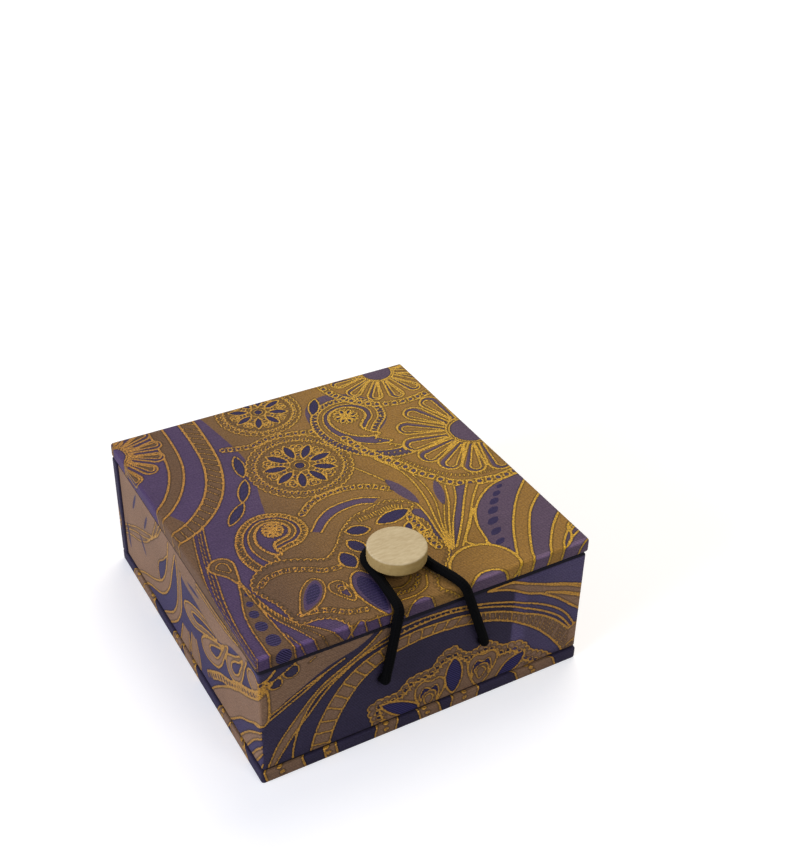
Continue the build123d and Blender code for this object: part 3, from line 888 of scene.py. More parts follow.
def draw_back(f):
    """The figure further back on the lid, on over the hinge and down the spine."""
    f.band([(-58, -4), (-46, -1), (-37, 5), (-30, 14), (-25.6, 26), (-24, 40), (-24, 56),
            (-27, 74), (-33, 100)],
            [(-58, 1), (-47.5, 3.6), (-40, 9), (-34, 17), (-30, 28), (-28.6, 41), (-28.8, 56),
            (-32, 73), (-38.6, 100)], "brown", rungs=40, width=0.7)
    f.band([(-58, 7), (-50.4, 9.4), (-44.4, 14), (-39, 21.6), (-35.4, 31), (-34, 42), (-34.2, 56),
            (-37.6, 72), (-45, 100)],
            [(-58, 11), (-52, 13), (-47, 17), (-42.4, 24), (-39.4, 32.5), (-38.4, 43), (-38.8, 56),
            (-42.2, 71), (-50, 100)], "brown", width=0.7)
    for x, y, angle in ((-30.8, 2.6, 46), (-24.6, 11.6, 62), (-21, 23, 80)):
        f.blade(x, y, 11, 3.2, angle, "leaf", 0.5)
    f.sunflower(-53, 45, 5.2, 16.5, (-78, -52, -26, 0, 26, 52), 4.6)
    f.medallion(-5, 15.5, 14.6, 9, 10)
    f.medallion(-4, 47, 12.2, 8, 22)
    f.paisley(-25.6, -9.4, 3.3, 128, -1, "brown", "purple")
    f.band([(-16, -14), (-11.4, -9.4), (-6, -6.6), (2, -6.4), (8, -9)],
            [(-13.6, -15.6), (-9.6, -12), (-5, -9.8), (1, -9.2), (5, -10.6)], "purple", width=0.6)
    f.chain([(-15, -6), (-9, -1.8), (-1, -0.6), (7, -2.4), (13, -7)], 2.3, 0.7, 0.42)
    f.chain([(-22, 33), (-14, 31), (-8, 32.4), (0, 31.4), (8, 29)], 2.4, 0.75, 0.42)
    f.paisley(19, 31, 4.3, 160, -1, "purple", "brown")
    f.blade(12.6, 41.6, 9.5, 3.4, 60, "leaf", 0.55)
    f.sunflower(40, 51, 5.0, 17, (100, 128, 156, 184, 212, 240, 268, 296, 324, 352), 4.8)
    f.chain([(22, 66), (19.6, 56), (21.4, 45), (28, 36), (37, 32), (47, 32.4), (58, 36)],
            2.8, 0.9, 0.5)
    f.band([(-20, 58), (-8, 64), (6, 66), (18, 73), (22, 84), (20, 100)],
            [(-22, 62), (-9, 68.6), (4, 71), (13, 77), (16, 86), (14, 100)],
            "brown", rungs=24, width=0.65)
    f.medallion(-8, 86, 12, 8)
    f.paisley(38, 80, 4.0, 40, 1, "brown", "purple")
    f.daisy(-46, 80, 6.5, 8)
    f.daisy(-24, 68, 4.4, 7)
    for x, y, angle in ((-18, 66, 40), (28, 66, 110), (8, 90, 80), (-46, 62, 90), (30, 94, 150)):
        f.blade(x, y, 8, 3, angle)


def draw_case(f):
    """The figure of the case's one sheet, from the lid's front edge to the spine's foot."""
    f.form([(-62, 108), (-62, -62), (-7, -62), (-14, -50), (-24, -42), (-29, -30), (-33, -20),
            (-26, -8), (-22, 6), (-18, 24), (-20, 44), (-24, 64), (-30, 84), (-34, 108)],
            "purple", 0)
    f.form([(8, 30), (20, 20), (30, 26), (30, 38), (20, 46), (10, 42)], "purple", 0)
    f.form([(20, 62), (34, 58), (60, 60), (60, 104), (22, 104), (24, 84)], "purple", 0)
    draw_left_front(f)
    draw_back(f)
    draw_right_arcs(f)
    draw_flower(f)
    draw_stems(f)
    f.disc(18.3, -49.4, 9.8, "brown", 0.85)
    f.disc(17.2, -56.4, 6.0, "purple", 0.7)
    draw_button_medallion(f)


weave(lid_cover, draw_case)
# a painted highlight along the silk's bend over the front edge, which makes the cloth lighter
# there
front_bend, bright_at, bright_reach, brightest = 0.9, 0.3, 0.6, 0.55
painted_bend_highlight = lid_cover.data.attributes.new("lit", "FLOAT", "POINT")
for vertex, place in zip(lid_cover.data.vertices, painted_bend_highlight.data):
    if vertex.co.y < (case_front + front_bend) * MM:
        away = abs(lid_top - vertex.co.z / MM - bright_at)
        place.value = brightest * max(0.0, 1 - away / bright_reach)
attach(lid_cover, "lid")
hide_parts("lid_brocade")


# Spine and hinge. The spine is a covered board that stands behind the tray. The cloth runs on from
# the lid over the gap and down the spine, and that free strip is the hinge.
rim_height, base_top, spine_front = 39.1, 3.7, 48.8


def spine_cloth(x, y, run, half, low, high):
    """Where the spine's cloth lies flat: on from the lid's, past its back edge."""
    flat = case_cloth(x, y, run, half, low, high)
    flat[:, 1] = case_back + lid_top - flat[:, 1]
    return flat


spine_cover = wrapped(
    "spine_cover", case_half, base_top, rim_height, case_back - spine_front,
    step=0.5, corner=0.5, edge=0.9, under_edge=0.3, turns=(0.5, 1.0, 1.5, 2.0, 3.0, 12.0),
    place=lambda x, y, depth: (x, case_back - depth, y), lies=spine_cloth, material=wall_silk,
)
weave(spine_cover, draw_case)
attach(spine_cover, "root")
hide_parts("spine_brocade")

hinge_low, hinge_high, hinge_half = 37.2, 41.6, case_half - 0.5
sunk_edge, edge_fall, hinge_rise = 0.22, 0.8, 0.26  # its rim lies under the covers beside it
form = bmesh.new()
bmesh.ops.create_grid(form, x_segments=240, y_segments=22, size=0.5)
cloth = form.verts.layers.float_vector.new("cloth")
for vertex in form.verts:
    x = vertex.co.x * 2 * hinge_half
    z = (hinge_low + hinge_high) / 2 + vertex.co.y * (hinge_high - hinge_low)
    share = min(min(z - hinge_low, hinge_high - z, hinge_half - abs(x)) / edge_fall, 1)
    vertex[cloth] = (x, case_back + lid_top - z, 0)
    vertex.co = Vector((x, case_back - sunk_edge + hinge_rise * share, z)) * MM
bmesh.ops.recalc_face_normals(form, faces=form.faces)
if form.faces[0].normal.y < 0:
    bmesh.ops.reverse_faces(form, faces=form.faces)
bmesh.ops.solidify(form, geom=form.faces, thickness=0.2 * MM)
hinge_cover = new_piece("hinge_cover", form, wall_silk)
weave(hinge_cover, draw_case)
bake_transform(hinge_cover)
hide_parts("hinge_brocade")

# Base. A covered board like the lid's, unpadded. Its lip stands out round the tray, and the
# tray and the spine are glued down on it.
base_cover = wrapped(
    "base_cover", case_half, case_front, case_back, base_top,
    step=0.5, corner=0.9, edge=0.4, under_edge=0.5, turns=(0.4, 0.8, 1.2, 1.6, 2.4, 12.0),
    place=lambda x, y, depth: (x, y, depth), lies=case_cloth, material=wall_silk,
)


def draw_base(f):
    """The figure that shows round the base's edges, and the one underneath."""
    for x, length, lean in ((-45, 11, 3), (-31, 3.5, 2), (-12, 6.5, -2), (-1, 6.5, 3),
            (13, 8.5, -2), (33.5, 13, 4)):
        one, other = x - length / 2, x + length / 2
        f.band([(one, -61), (one + lean, -49)], [(other, -61), (other + lean, -49)], "brown")
        f.dots([(x - 1, -59), (x + 0.6 * lean, -52)], 2.2, 0.5)
    for side in (-1, 1):
        for y, wide, lean in ((-42, 10, 9), (-24, 7, -7), (-8, 9, 8), (9, 6, -5), (24, 10, 9),
                (41, 8, -6)):
            f.band([(side * 46, y - wide / 2), (side * 58, y - wide / 2 + lean)],
                    [(side * 46, y + wide / 2), (side * 58, y + wide / 2 + lean)], "brown")
            f.dots([(side * 49, y - 2), (side * 56, y + 0.5 * lean)], 2.2, 0.5)
    for x in (-38, -14, 12, 36):
        f.band([(x - 5, 48), (x + 2, 60)], [(x + 4, 48), (x + 11, 60)], "brown")
    f.band([(-46, -48), (-20, -30), (8, -24), (46, -34)],
            [(-46, -40), (-20, -20), (8, -13), (46, -24)], "brown", rungs=30)
    f.paisley(-18, 14, 6.5, 30, 1, "brown", "purple")
    f.medallion(24, 18, 17, 9)
    f.daisy(-38, -8, 7, 8)
    f.daisy(4, -2, 5, 7)


weave(base_cover, draw_base, "purple")
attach(base_cover, "root")
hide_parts("base_brocade")


# Tray. Four walls of greyboard on a floor, covered outside, over the rim and a little way down
# the inside in one strip of brocade. Two holes in the front let the elastic through.
tray_half, tray_front, tray_back = 48.4, -50.9, 48.8
cloth_thick, wall_thick = 0.35, 2.7
out_by, right_lean = 1.05, 0.4
rim_wide, rim_drop, rim_inner = 1.7, 1.2, 0.4
tray_step, corner_radius = 0.45, 0.8
hair = 1e-3


def drawn_on(form, edges, offset):
    """Draws faces out from a row of edges by an offset, and gives the new row."""
    made = bmesh.ops.extrude_edge_only(form, edges=edges)["geom"]
    fresh = [v for v in made if isinstance(v, bmesh.types.BMVert)]
    bmesh.ops.translate(form, vec=offset, verts=fresh)
    fresh_edges = [g for g in made if isinstance(g, bmesh.types.BMEdge)]
    return [e for e in fresh_edges if all(v in fresh for v in e.verts)]


def tray_section():
    """The cover's section as (in from the wall's face, height, how far along the cloth)."""
    bend_foot = rim_height - rim_drop
    rows = int((bend_foot - base_top) / tray_step)
    made = [(1.1, base_top, base_top - 1.0), (0.5, base_top + 0.25, base_top - 0.4)]
    made += [(0.12, base_top + 0.6, base_top + 0.2)]
    made += [(0, z, z) for z in np.linspace(base_top + 1.0, bend_foot, rows + 1)]
    for a in (pi / 12, pi / 6, pi / 4, pi / 3, pi / 2):
        spot = (rim_wide * (1 - cos(a)), bend_foot + rim_drop * sin(a))
        made.append((*spot, rim_height + rim_drop * (a - 1)))
    made += [(x, rim_height, rim_height + x - 1) for x in (2.0, 2.3)]
    for a in (pi / 6, pi / 3, pi / 2):
        spot = (wall_thick - rim_inner * (1 - sin(a)), rim_height - rim_inner * (1 - cos(a)))
        made.append((*spot, rim_height + 2.3 + a * rim_inner))
    for z in (38.2, 37.6, 37.0, 36.4, 35.5, 32.0, 27.1):
        made.append((wall_thick, z, rim_height + 3 + rim_height - z))
    inner, under_rim, last = wall_thick - cloth_thick, rim_height - cloth_thick, 54
    made += [(inner, z, last) for z in (27.1, 34.0, under_rim)]
    return made + [(cloth_thick, z, last) for z in (under_rim, 20.0, base_top)]


form = bmesh.new()
wide, deep = 2 * tray_half, tray_back - tray_front
squares = {"x_segments": int(wide / tray_step), "y_segments": int(deep / tray_step)}
bmesh.ops.create_grid(form, size=0.5, **squares)
bmesh.ops.delete(form, geom=[v for v in form.verts if not v.is_boundary], context="VERTS")
bmesh.ops.delete(form, geom=[e for e in form.edges if len(e.link_faces)], context="FACES_ONLY")
ring = list(form.edges)
section_at = form.verts.layers.float.new("row")
cloth = form.verts.layers.float_vector.new("cloth")
lit = form.verts.layers.float.new("lit")
section = tray_section()
for row in range(1, len(section)):
    made = bmesh.ops.extrude_edge_only(form, edges=ring)["geom"]
    ring = [g for g in made if isinstance(g, bmesh.types.BMEdge) and len(g.link_faces) == 1]
    for vertex in {v for e in ring for v in e.verts}:
        vertex[section_at] = row
tray_middle = (tray_front + tray_back) / 2
# along the front: how far in a crease bends the board, and the painted light on the cloth, a
# painted highlight along the crease and lighter cloth to its right and at the far left
crease = ((25.2, 25.8, 29.2, 30.2, 42.0), (0, 0.04, 0.56, 0.5, 0.0))
front_light = ((-48, -20, 25.4, 26.2, 29.0, 30.4, 48.0), (0.12, 0, 0, 0.95, 0.9, 0.55, 0.65))
for vertex in form.verts:
    inset, z, along = section[int(round(vertex[section_at]))]
    x, y = vertex.co.x * wide, vertex.co.y * deep
    if y < -deep / 2 + hair:
        around = x
    elif x < -wide / 2 + hair:
        around = -tray_half - (y + deep / 2)
    elif x > wide / 2 - hair:
        around = tray_half + (y + deep / 2)
    else:
        around = tray_half + deep + (tray_half - x)
    vertex[cloth] = (around, along, 0)
    x *= (wide / 2 - inset) / (wide / 2)
    y *= (deep / 2 - inset) / (deep / 2)
    bend = max(corner_radius - inset, 0.25)
    core_x, core_y = wide / 2 - inset - bend, deep / 2 - inset - bend
    over_x, over_y = abs(x) - core_x, abs(y) - core_y
    if over_x > 0 and over_y > 0:
        share = max(over_x, over_y) / hypot(over_x, over_y)
        x = (core_x + over_x * share) * (1 if x > 0 else -1)
        y = (core_y + over_y * share) * (1 if y > 0 else -1)
    # painted light and shade on the purple: the lines at the rim and the foot are painted darker
    # as shade under the lid and at the base, and the sides get painted light
    at_front = y < -deep / 2 + 0.1
    if inset < 1.4 and (z > rim_height - 0.9 or z < base_top + 0.7):
        vertex[lit] = -0.3
    elif not at_front:
        vertex[lit] = 0.3 if x < 0 else 0.2
    if inset == 0 and at_front:
        # the crease is upright, right of the middle, and the cloth sinks a little into the holes
        rise = np.interp(x, *crease)
        ends = (base_top, base_top + 2, rim_height - 3, rim_height - 0.5)
        rise *= np.interp(z, ends, (0.3, 1, 1, 0))
        high_up = np.interp(z, (base_top + 0.5, base_top + 3), (0, 1))
        # painted light on the front: the painted highlight of the crease and the lighter cloth
        # beside it, fading out toward the foot
        if z < rim_height - 0.9:
            vertex[lit] = high_up * np.interp(x, *front_light)
        for side in (-1, 1):
            away = hypot(x - exits[side], z - hole_height)
            rise -= 0.35 * np.interp(away, (1.3, 3.2), (1, 0)) ** 2
        y -= rise
    # the cloth stands off the boards until the walls are nearly flush with the lid's edge
    outer = 1 - min(inset / wall_thick, 1)
    x += outer * (out_by * x / tray_half + right_lean * max(x / tray_half, 0) ** 2)
    y -= outer * out_by * max(-2 * y / deep, 0)
    vertex.co = Vector((x, tray_middle + y, z)) * MM

# the holes: each is cut in the front's cloth, drawn round, and goes in as far as the board
hole_radius, hole_ring = 1.35, 2.2
for side in (-1, 1):
    centre = Vector((exits[side], tray_front - out_by, hole_height)) * MM
    near = {}
    for vertex in form.verts:
        if abs(vertex.co.y - centre.y) < MM:
            near[vertex] = hypot(vertex.co.x - centre.x, vertex.co.z - centre.z) / MM
    inside = [vertex for vertex, away in near.items() if away < hole_radius + 0.1]
    close = {vertex for vertex, away in near.items() if hole_radius + 0.1 <= away < hole_ring}
    bmesh.ops.delete(form, geom=inside, context="VERTS")
    edge = [e for e in form.edges if e.is_boundary and all(v in close for v in e.verts)]
    for vertex in {v for e in edge for v in e.verts}:
        vertex.co.x = centre.x + (vertex.co.x - centre.x) * hole_radius / near[vertex]
        vertex.co.z = centre.z + (vertex.co.z - centre.z) * hole_radius / near[vertex]
    for depth in (0.3, 1.9):
        edge = drawn_on(form, edge, (0, depth * MM, 0))
    bmesh.ops.contextual_create(form, geom=edge)
bmesh.ops.bridge_loops(form, edges=[e for e in form.edges if e.is_boundary])
bmesh.ops.recalc_face_normals(form, faces=form.faces)
tray_cover = new_piece("tray_cover", form, wall_silk)


def on_left(points):
    """The left wall's cloth, from how far back places are from the case's middle, and how high."""
    return [(-tray_half + a + tray_front, z) for a, z in points]


def on_right(points):
    """The same for the right wall."""
    return [(tray_half + a - tray_front, z) for a, z in points]


def draw_front_wall(f):
    """The ladder arch over a half medallion, between two corners of brown ground."""
    f.form([(-49, 47), (-49, 23), (-40, 27), (-30, 32.5), (-20, 36), (-13, 42), (-13, 47)],
            "brown", 0)
    f.band([(-52, 19.5), (-42, 25), (-36, 28.3), (-25, 33.2)],
            [(-52, 18), (-42, 23.6), (-36, 27), (-31, 30.2)], "purple")
    f.band([(-52, -3), (-48, 1), (-46.3, 6), (-43.5, 12), (-38, 19.5), (-31.5, 26.5), (-24, 31),
            (-19, 34), (-14, 38.5)],
            [(-49, -3), (-46.5, 1), (-44, 6), (-39.5, 13), (-35, 18.5), (-30, 24.5), (-25, 28.5),
            (-18, 33), (-8, 36.5)], "brown")
    f.band([(-46.5, -3), (-46.5, 1), (-44, 6), (-39.5, 13), (-35, 18.5), (-30, 24.5), (-25, 28.5),
            (-18, 33), (-8, 36.5), (4, 36.6), (14, 34.6), (24, 31.2), (34, 26.6), (42, 20.6),
            (46.6, 14), (50.6, 5), (52, 0)],
            [(-40.5, -3), (-40, 4), (-39.3, 10), (-37, 17), (-33, 23.5), (-27, 28), (-20, 31.5),
            (-12, 33.8), (-2, 35.2), (6, 35), (14, 33.4), (24, 29.7), (33, 25), (41, 19),
            (45.6, 13), (50, 5), (51.6, 0)], "purple")
    f.band([(-35.3, -3), (-35, 3), (-33.5, 10), (-30, 18), (-25, 25), (-20, 29), (-13, 32),
            (-5, 33.3), (2, 33.2), (10, 32.4), (18, 30.2), (25, 27.3), (35, 22), (42, 16), (48, 8),
            (50.5, 1), (51, -3)],
            [(-30.3, -3), (-29.8, 3), (-28.4, 9), (-25.6, 15.4), (-20.4, 22.8), (-14, 27.3),
            (-8, 29.2), (0, 30), (6, 29.6), (12, 28.6), (20, 26.4), (30, 20.8), (38, 13), (44, 4),
            (45.5, -3)], "brown")
    outer = bent([(-35, 1), (-33.5, 10), (-30, 18), (-25, 25), (-20, 29), (-13, 32), (-5, 33.3),
            (0, 33.3), (7, 32.9), (14, 31.3)])
    inner = bent([(-29.9, 1), (-28.4, 9), (-25.6, 15.4), (-20.4, 22.8), (-14, 27.3), (-8, 29.2),
            (-1, 30), (5, 29.7), (11, 28.8)])
    f.rungs_between(outer, inner, np.linspace(0.02, 1, 17), 0.5)
    outer = bent([(11, 32.1), (18, 30.2), (25, 27.3), (35, 22), (42, 16), (48, 8), (50.5, 1)])
    inner = bent([(12, 28.6), (20, 26.4), (30, 20.8), (38, 13), (44, 4), (45.5, -3)])
    f.rungs_between(outer, inner, np.linspace(0.03, 1, 33), 0.3)
    f.dots([(-8, 35.3), (0, 35.9), (8, 35.5), (15, 33.9)], 1.5, 0.28, width=0)
    # brown leaves at the upper right
    f.band([(17, 37.8), (23, 36), (30, 32.2), (35, 30), (42, 27.3), (50.5, 22.6)],
            [(17.4, 38), (24, 37.8), (30, 35.6), (35, 33.3), (42, 30.4), (50.5, 26.6)],
            "brown", width=0.65)
    f.thread([(24, 38.4), (31, 35.2), (38, 31.6), (44, 29), (50.5, 25.2)])
    f.band([(34.6, 30), (39.4, 26.6), (43, 23.4), (46, 20.5), (50.5, 16.8)],
            [(36, 30), (41, 27.4), (45, 25.2), (50.5, 21.8)], "brown", width=0.65)
    # small half flowers at the upper left
    for x, z, size in ((-39.6, 35.7, 2.1), (-43.9, 33.4, 1.8), (-47.6, 31.4, 1.3)):
        f.disc(x, z, size, "purple", 0.42)
    f.form([(-52, 30.4), (-47.9, 32.6), (-42.9, 35.4), (-38.2, 38.2), (-36, 42), (-52, 42)],
            "purple", 0, smooth=False)
    f.thread([(-52, 30.2), (-47.9, 32.5), (-42.9, 35.3), (-38.4, 38)], 0.5)
    f.thread([(-47.2, 35.2), (-45.6, 36), (-44, 37.8)], 0.75)
    f.thread([(-50, 34.6), (-46.6, 35.4)], 0.45)
    f.thread([(-34.8, 36.3), (-33, 37.5)], 0.4)
    f.thread([(-52, 29.5), (-47.9, 31), (-46.8, 30.2)], 0.42)
    # half medallion at the bottom
    lace = [(-17, -3), (-15.5, 4), (-16.8, 11.6), (-9, 12.5), (-5, 16), (1.5, 16.6), (3.5, 19.5),
            (7, 21.6), (9.6, 18.6), (13, 16.9), (18.5, 18.2), (23, 14.8), (28.6, 14.2), (32, 9.4),
            (38, 5), (41, -3)]
    f.form(lace, "brown", 0.5, lobes=1.25)
    for x, z in stations(bent([(-15, -2), (-14.4, 4), (-15.2, 10.6), (-9, 11.4), (-5, 14.8),
            (1, 15.4), (3.9, 18.2), (7.2, 19.6), (10.6, 16.8), (14.4, 15.8), (18.6, 16.8),
            (22.6, 13.4), (27.8, 12.6), (31, 8), (36.6, 4)]), 2.2):
        f.disc(x, z, 0.75, "purple", 0.34)
    f.form([(-13.5, -3), (-12.8, 5), (-13.6, 9.8), (-7.8, 10.3), (-3.6, 13.6), (2, 14), (5, 17),
            (9, 17), (12.4, 13.6), (17.6, 15), (21.5, 11.8), (27, 11), (30, 6.6), (35, 2.6),
            (36, -3)], "brown", 0.5, lobes=0.9)
    f.blade(-7.2, 6.4, 17, 4.8, -32)
    f.blade(8, 11.6, 13.5, 5.4, 90)
    f.blade(26, 6.6, 13, 4.6, 45)
    f.blade(-12.5, 0.5, 6, 3, 10)
    for x, z in ((0.4, 7.4), (16.8, 9.8)):
        f.form(set_at([(-6, 0), (-1.2, -3.6), (3.6, -4.6), (6, -2.6), (5.4, 0), (6, 2.6),
                (3.6, 4.6), (-1.2, 3.6)], x, z, 84), "brown", 0.55)
        f.form(set_at([(-2.4, -2.8), (1.2, -3), (3.6, -1.8), (2.8, 0), (3.6, 1.8), (1.2, 3),
                (-2.4, 2.8), (1.4, 1.6), (1.6, -1.6)], x, z, 84), "leaf", 0.45)
        f.form(set_at([(-3.4, 0), (-0.6, -1.5), (0.9, 0), (-0.6, 1.5)], x, z, 84), "brown", 0.45)
    f.disc(33, 1.5, 3.2, "brown")
    f.disc(33, 1.5, 1.6, "purple")


def draw_left_wall(f):
    """The lobed leaves, the laced band that they grow from and the lines round them."""
    f.form(on_left([(-4, 46), (-60, 46), (-60, -4), (-41, -4), (-30, 5), (-19, 10.4), (-13, 15),
            (-9, 21), (-6, 29), (-3, 37)]), "brown", 0)
    f.form(on_left([(-17.8, 14.6), (-12.4, 19), (-10.2, 25), (-9.6, 31), (-13.6, 27),
            (-18.6, 22)]), "purple", 0.5)
    for one, other in (
            ([(-41.8, -3), (-31, 5.2), (-19.6, 10.2), (-13.8, 14.6), (-9.6, 20.6), (-6.8, 27.8),
            (-3.4, 36)],
            [(-47, -3), (-36, 6), (-25, 11.6), (-18, 16), (-13.4, 21.6), (-10.4, 29), (-8.2, 37)]),
            ([(-20, -3), (-12.6, 4), (-5.6, 10.4), (-1.6, 17.6), (-0.4, 25.4), (0, 35)],
            [(-25, -3), (-16.6, 5), (-8.8, 11.2), (-4.6, 18), (-3, 26), (-2.8, 35)])):
        f.band(on_left(one), on_left(other), "brown", width=0.65)
    for shift in (0.0, 4.4, 8.2):
        f.thread(on_left([(-56 + shift, 8 + shift), (-44 + shift, 15 + shift),
                (-33 + shift, 20 + shift), (-24 + 0.7 * shift, 27 + 0.6 * shift),
                (-16 + 0.5 * shift, 40)]), 0.5)
    for a, z, length, width, angle in ((-31.8, 19.7, 8, 1.5, 128), (-36, 32.6, 10, 1.3, 62),
            (-45, 14, 10, 1.8, 96), (-27, 31, 9, 1.2, 62), (-50, 28, 10, 1.2, 80)):
        f.blade(*on_left([(a, z)])[0], length, width, angle, "purple", 0)
    for one, other in (
            ([(5.4, 14.6), (4, 8), (5, 2), (6.4, -3)], [(8.6, 14.6), (10.6, 8), (10, 2), (9, -3)]),
            ([(-1.4, 12.6), (-3.4, 7), (-5, 2), (-6, -3)],
            [(3, 12.8), (3, 8), (1.8, 2), (1.4, -3)])):
        f.band(on_left(one), on_left(other), "brown", width=0.6)
    for outer, inner in (
            ([(24, 29.8), (19, 29.4), (14, 28.6), (9, 27.2), (4.6, 25.4), (1.8, 23.3), (1.6, 21.2),
            (3.9, 19.4), (8.2, 19.4), (13.2, 21.5), (19, 24.4), (24, 27)],
            [(24, 28.6), (19, 27.8), (14.6, 26.7), (9.6, 25.1), (7.1, 23.8), (7, 22.6),
            (10.4, 22.4), (14.6, 24.3), (19, 26), (24, 27.6)]),
            ([(32, 32), (27.6, 28.6), (23.2, 26.3), (18.9, 24), (14.8, 21.1), (13.2, 18.8),
            (13.6, 16.4), (15.6, 15.2), (18.9, 15.4), (23.9, 17.6), (27, 21.1), (28.8, 24.7),
            (31, 29)],
            [(29.4, 29.4), (26, 26.3), (22.5, 24.2), (19.4, 21.7), (19.4, 19.9), (22.8, 20.2),
            (25.2, 22.4), (27, 25.4)]),
            ([(43, 38), (37.4, 33), (33.4, 30.3), (31, 28.3), (30.5, 25.4), (31.8, 22.9),
            (34, 22.3), (37, 23.4), (39.8, 26.1), (41.4, 29.7), (42.4, 33), (44, 37)],
            [(41.4, 35), (38.9, 32.2), (36, 30.2), (34.1, 27.9), (34.2, 25.9), (36, 25.6),
            (38.4, 27.6), (39.7, 30.4), (41, 33)])):
        f.form(on_left(outer), "brown", 0.62)
        f.form(on_left(inner), "purple", 0.62)
    f.form(on_left([(-4, 47), (-3, 37), (0, 32.4), (4, 30.6), (10, 30.2), (18, 29), (24, 28.4),
            (29, 30), (34, 33.6), (42, 36), (47, 39.4), (53, 40.6), (53, 47)]), "brown", 0)
    f.blade(*on_left([(9.4, 33.2)])[0], 9, 1.4, 4, "purple", 0)
    f.disc(*on_left([(47.4, 33.4)])[0], 3.2, "brown", 0.6)
    lace = [(15.6, 9), (18.2, 11.2), (21.8, 14), (26, 16.9), (30.4, 19), (33.9, 21.1), (37.5, 24),
            (42.5, 26.9), (47.5, 30), (53, 35)]
    f.form(on_left([(14.4, -4), (15.7, 1.1), (19.6, 6.1), (24.6, 11.1), (30.4, 16.1), (36, 20.4),
            (44, 25), (49, 28.6), (53, 32), (53, 21.4), (48.9, 19.7), (43.2, 15.4), (38.2, 11.9),
            (33.2, 6.9), (27.5, 1.1), (24, -4)]), "brown", 0.62)
    f.thread(on_left(lace), 0.6)
    f.chain(on_left([(a + 1.0, z - 0.9) for a, z in lace[1:]]), 2.4, 0.55, 0.4)
    f.fringe(on_left(lace), 2.2, -1.8, 0.45)
    for one, other in (
            ([(33.2, -2), (37.6, 5), (43, 11.4), (48, 15.8), (51, 18.1)],
            [(37.5, -2), (41.4, 4.6), (45.4, 10.4), (49, 14.2), (51, 15.8)]),
            ([(41, -2), (44.2, 4), (48, 9.6), (51, 12.9)],
            [(44, -2), (46.6, 3.4), (49.4, 8), (51, 10.2)])):
        f.band(on_left(one), on_left(other), "brown", width=0.6)
    f.thread(on_left([(47.6, -2), (49.4, 3), (51, 6.4)]), 0.6)
    for shift in (0, 1.6, 3.0):
        f.thread(on_left([(12, 36 + shift), (26, 36.2 + shift * 0.9), (38, 38 + shift * 0.6),
                (52, 42.6 + 0.4 * shift)]), 0.55)


def draw_right_and_back(f):
    """Bands, a curled drop, a medallion and small flowers."""
    f.band(on_right([(-54, 6), (-40, 14), (-28, 26), (-22, 40), (-22, 46)]),
            on_right([(-54, 12), (-44, 19), (-34, 30), (-29, 40), (-29, 46)]), "brown")
    f.band(on_right([(-54, -3), (-38, 6), (-24, 18), (-14, 34), (-13, 46)]),
            on_right([(-54, 2), (-40, 10), (-27, 21), (-18.5, 35), (-18, 46)]), "brown", rungs=22)
    f.paisley(*on_right([(2, 20)])[0], 4.6, 15, 1, "brown", "purple")
    f.medallion(*on_right([(36, 10)])[0], 14, 9, 12)
    for a, z, size in ((-36, 34, 5), (-12, 8, 5.5), (18, 34, 4.5)):
        f.daisy(*on_right([(a, z)])[0], size, 8)
    for a, z, angle in ((-46, 24, 60), (-4, 34, 20), (16, 8, 100), (22, 24, 70)):
        f.blade(*on_right([(a, z)])[0], 10, 3.6, angle)


def draw_tray(f):
    """The figure of the strip round the tray, with a plain dark purple line at its rim and its
    foot, which serves as painted shade under the lid and at the base.
    """
    draw_front_wall(f)
    draw_left_wall(f)
    draw_right_and_back(f)
    # purple lines at the rim and the foot: painted shade where the lid's edge and the base meet
    # the walls
    f.form([(-300, 38.2), (300, 38.2), (300, 41.4), (-300, 41.4)], "purple", 0, smooth=False)
    f.form([(-300, 4.3), (300, 4.3), (300, -4), (-300, -4)], "purple", 0, smooth=False)


weave(tray_cover, draw_tray, "purple")
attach(tray_cover, "root")
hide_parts("tray_brocade")


# Button. A disc with rounded edges on a narrower neck, turned from a pale close-grained wood and
# left unvarnished. A screw from inside the lid holds it.
button_x, button_y = -2.5, -37.5
neck_radius, head_radius, head_round = 4.8, 8.1, 0.45
neck_low, head_low, head_high = 43.9, 47.1, 51.1
profile = [(neck_radius, neck_low), (neck_radius, head_low - 0.3), (neck_radius + 0.3, head_low)]
core = head_radius - head_round
for low, turn in ((head_low + head_round, -pi / 2), (head_high - head_round, 0)):
    for a in np.linspace(turn, turn + pi / 2, 6):
        profile.append((core + head_round * cos(a), low + head_round * sin(a)))
profile += [(r, head_high) for r in (6.4, 5.2, 3.5, 1.8)]
form = bmesh.new()
points = [
    form.verts.new(Vector((r, 0, z)) * MM)
    for r, z in ((0, neck_low), *profile, (0, head_high - 0.05))
]
lines = [form.edges.new(pair) for pair in zip(points[:-1], points[1:])]
full_turn = {"cent": (0, 0, 0), "axis": (0, 0, 1), "angle": 2 * pi, "steps": 96, "use_merge": True}
bmesh.ops.spin(form, geom=points + lines, **full_turn)
bmesh.ops.remove_doubles(form, verts=form.verts, dist=0.01 * MM)
bmesh.ops.recalc_face_normals(form, faces=form.faces)
bmesh.ops.translate(form, vec=(button_x * MM, button_y * MM, 0), verts=form.verts)
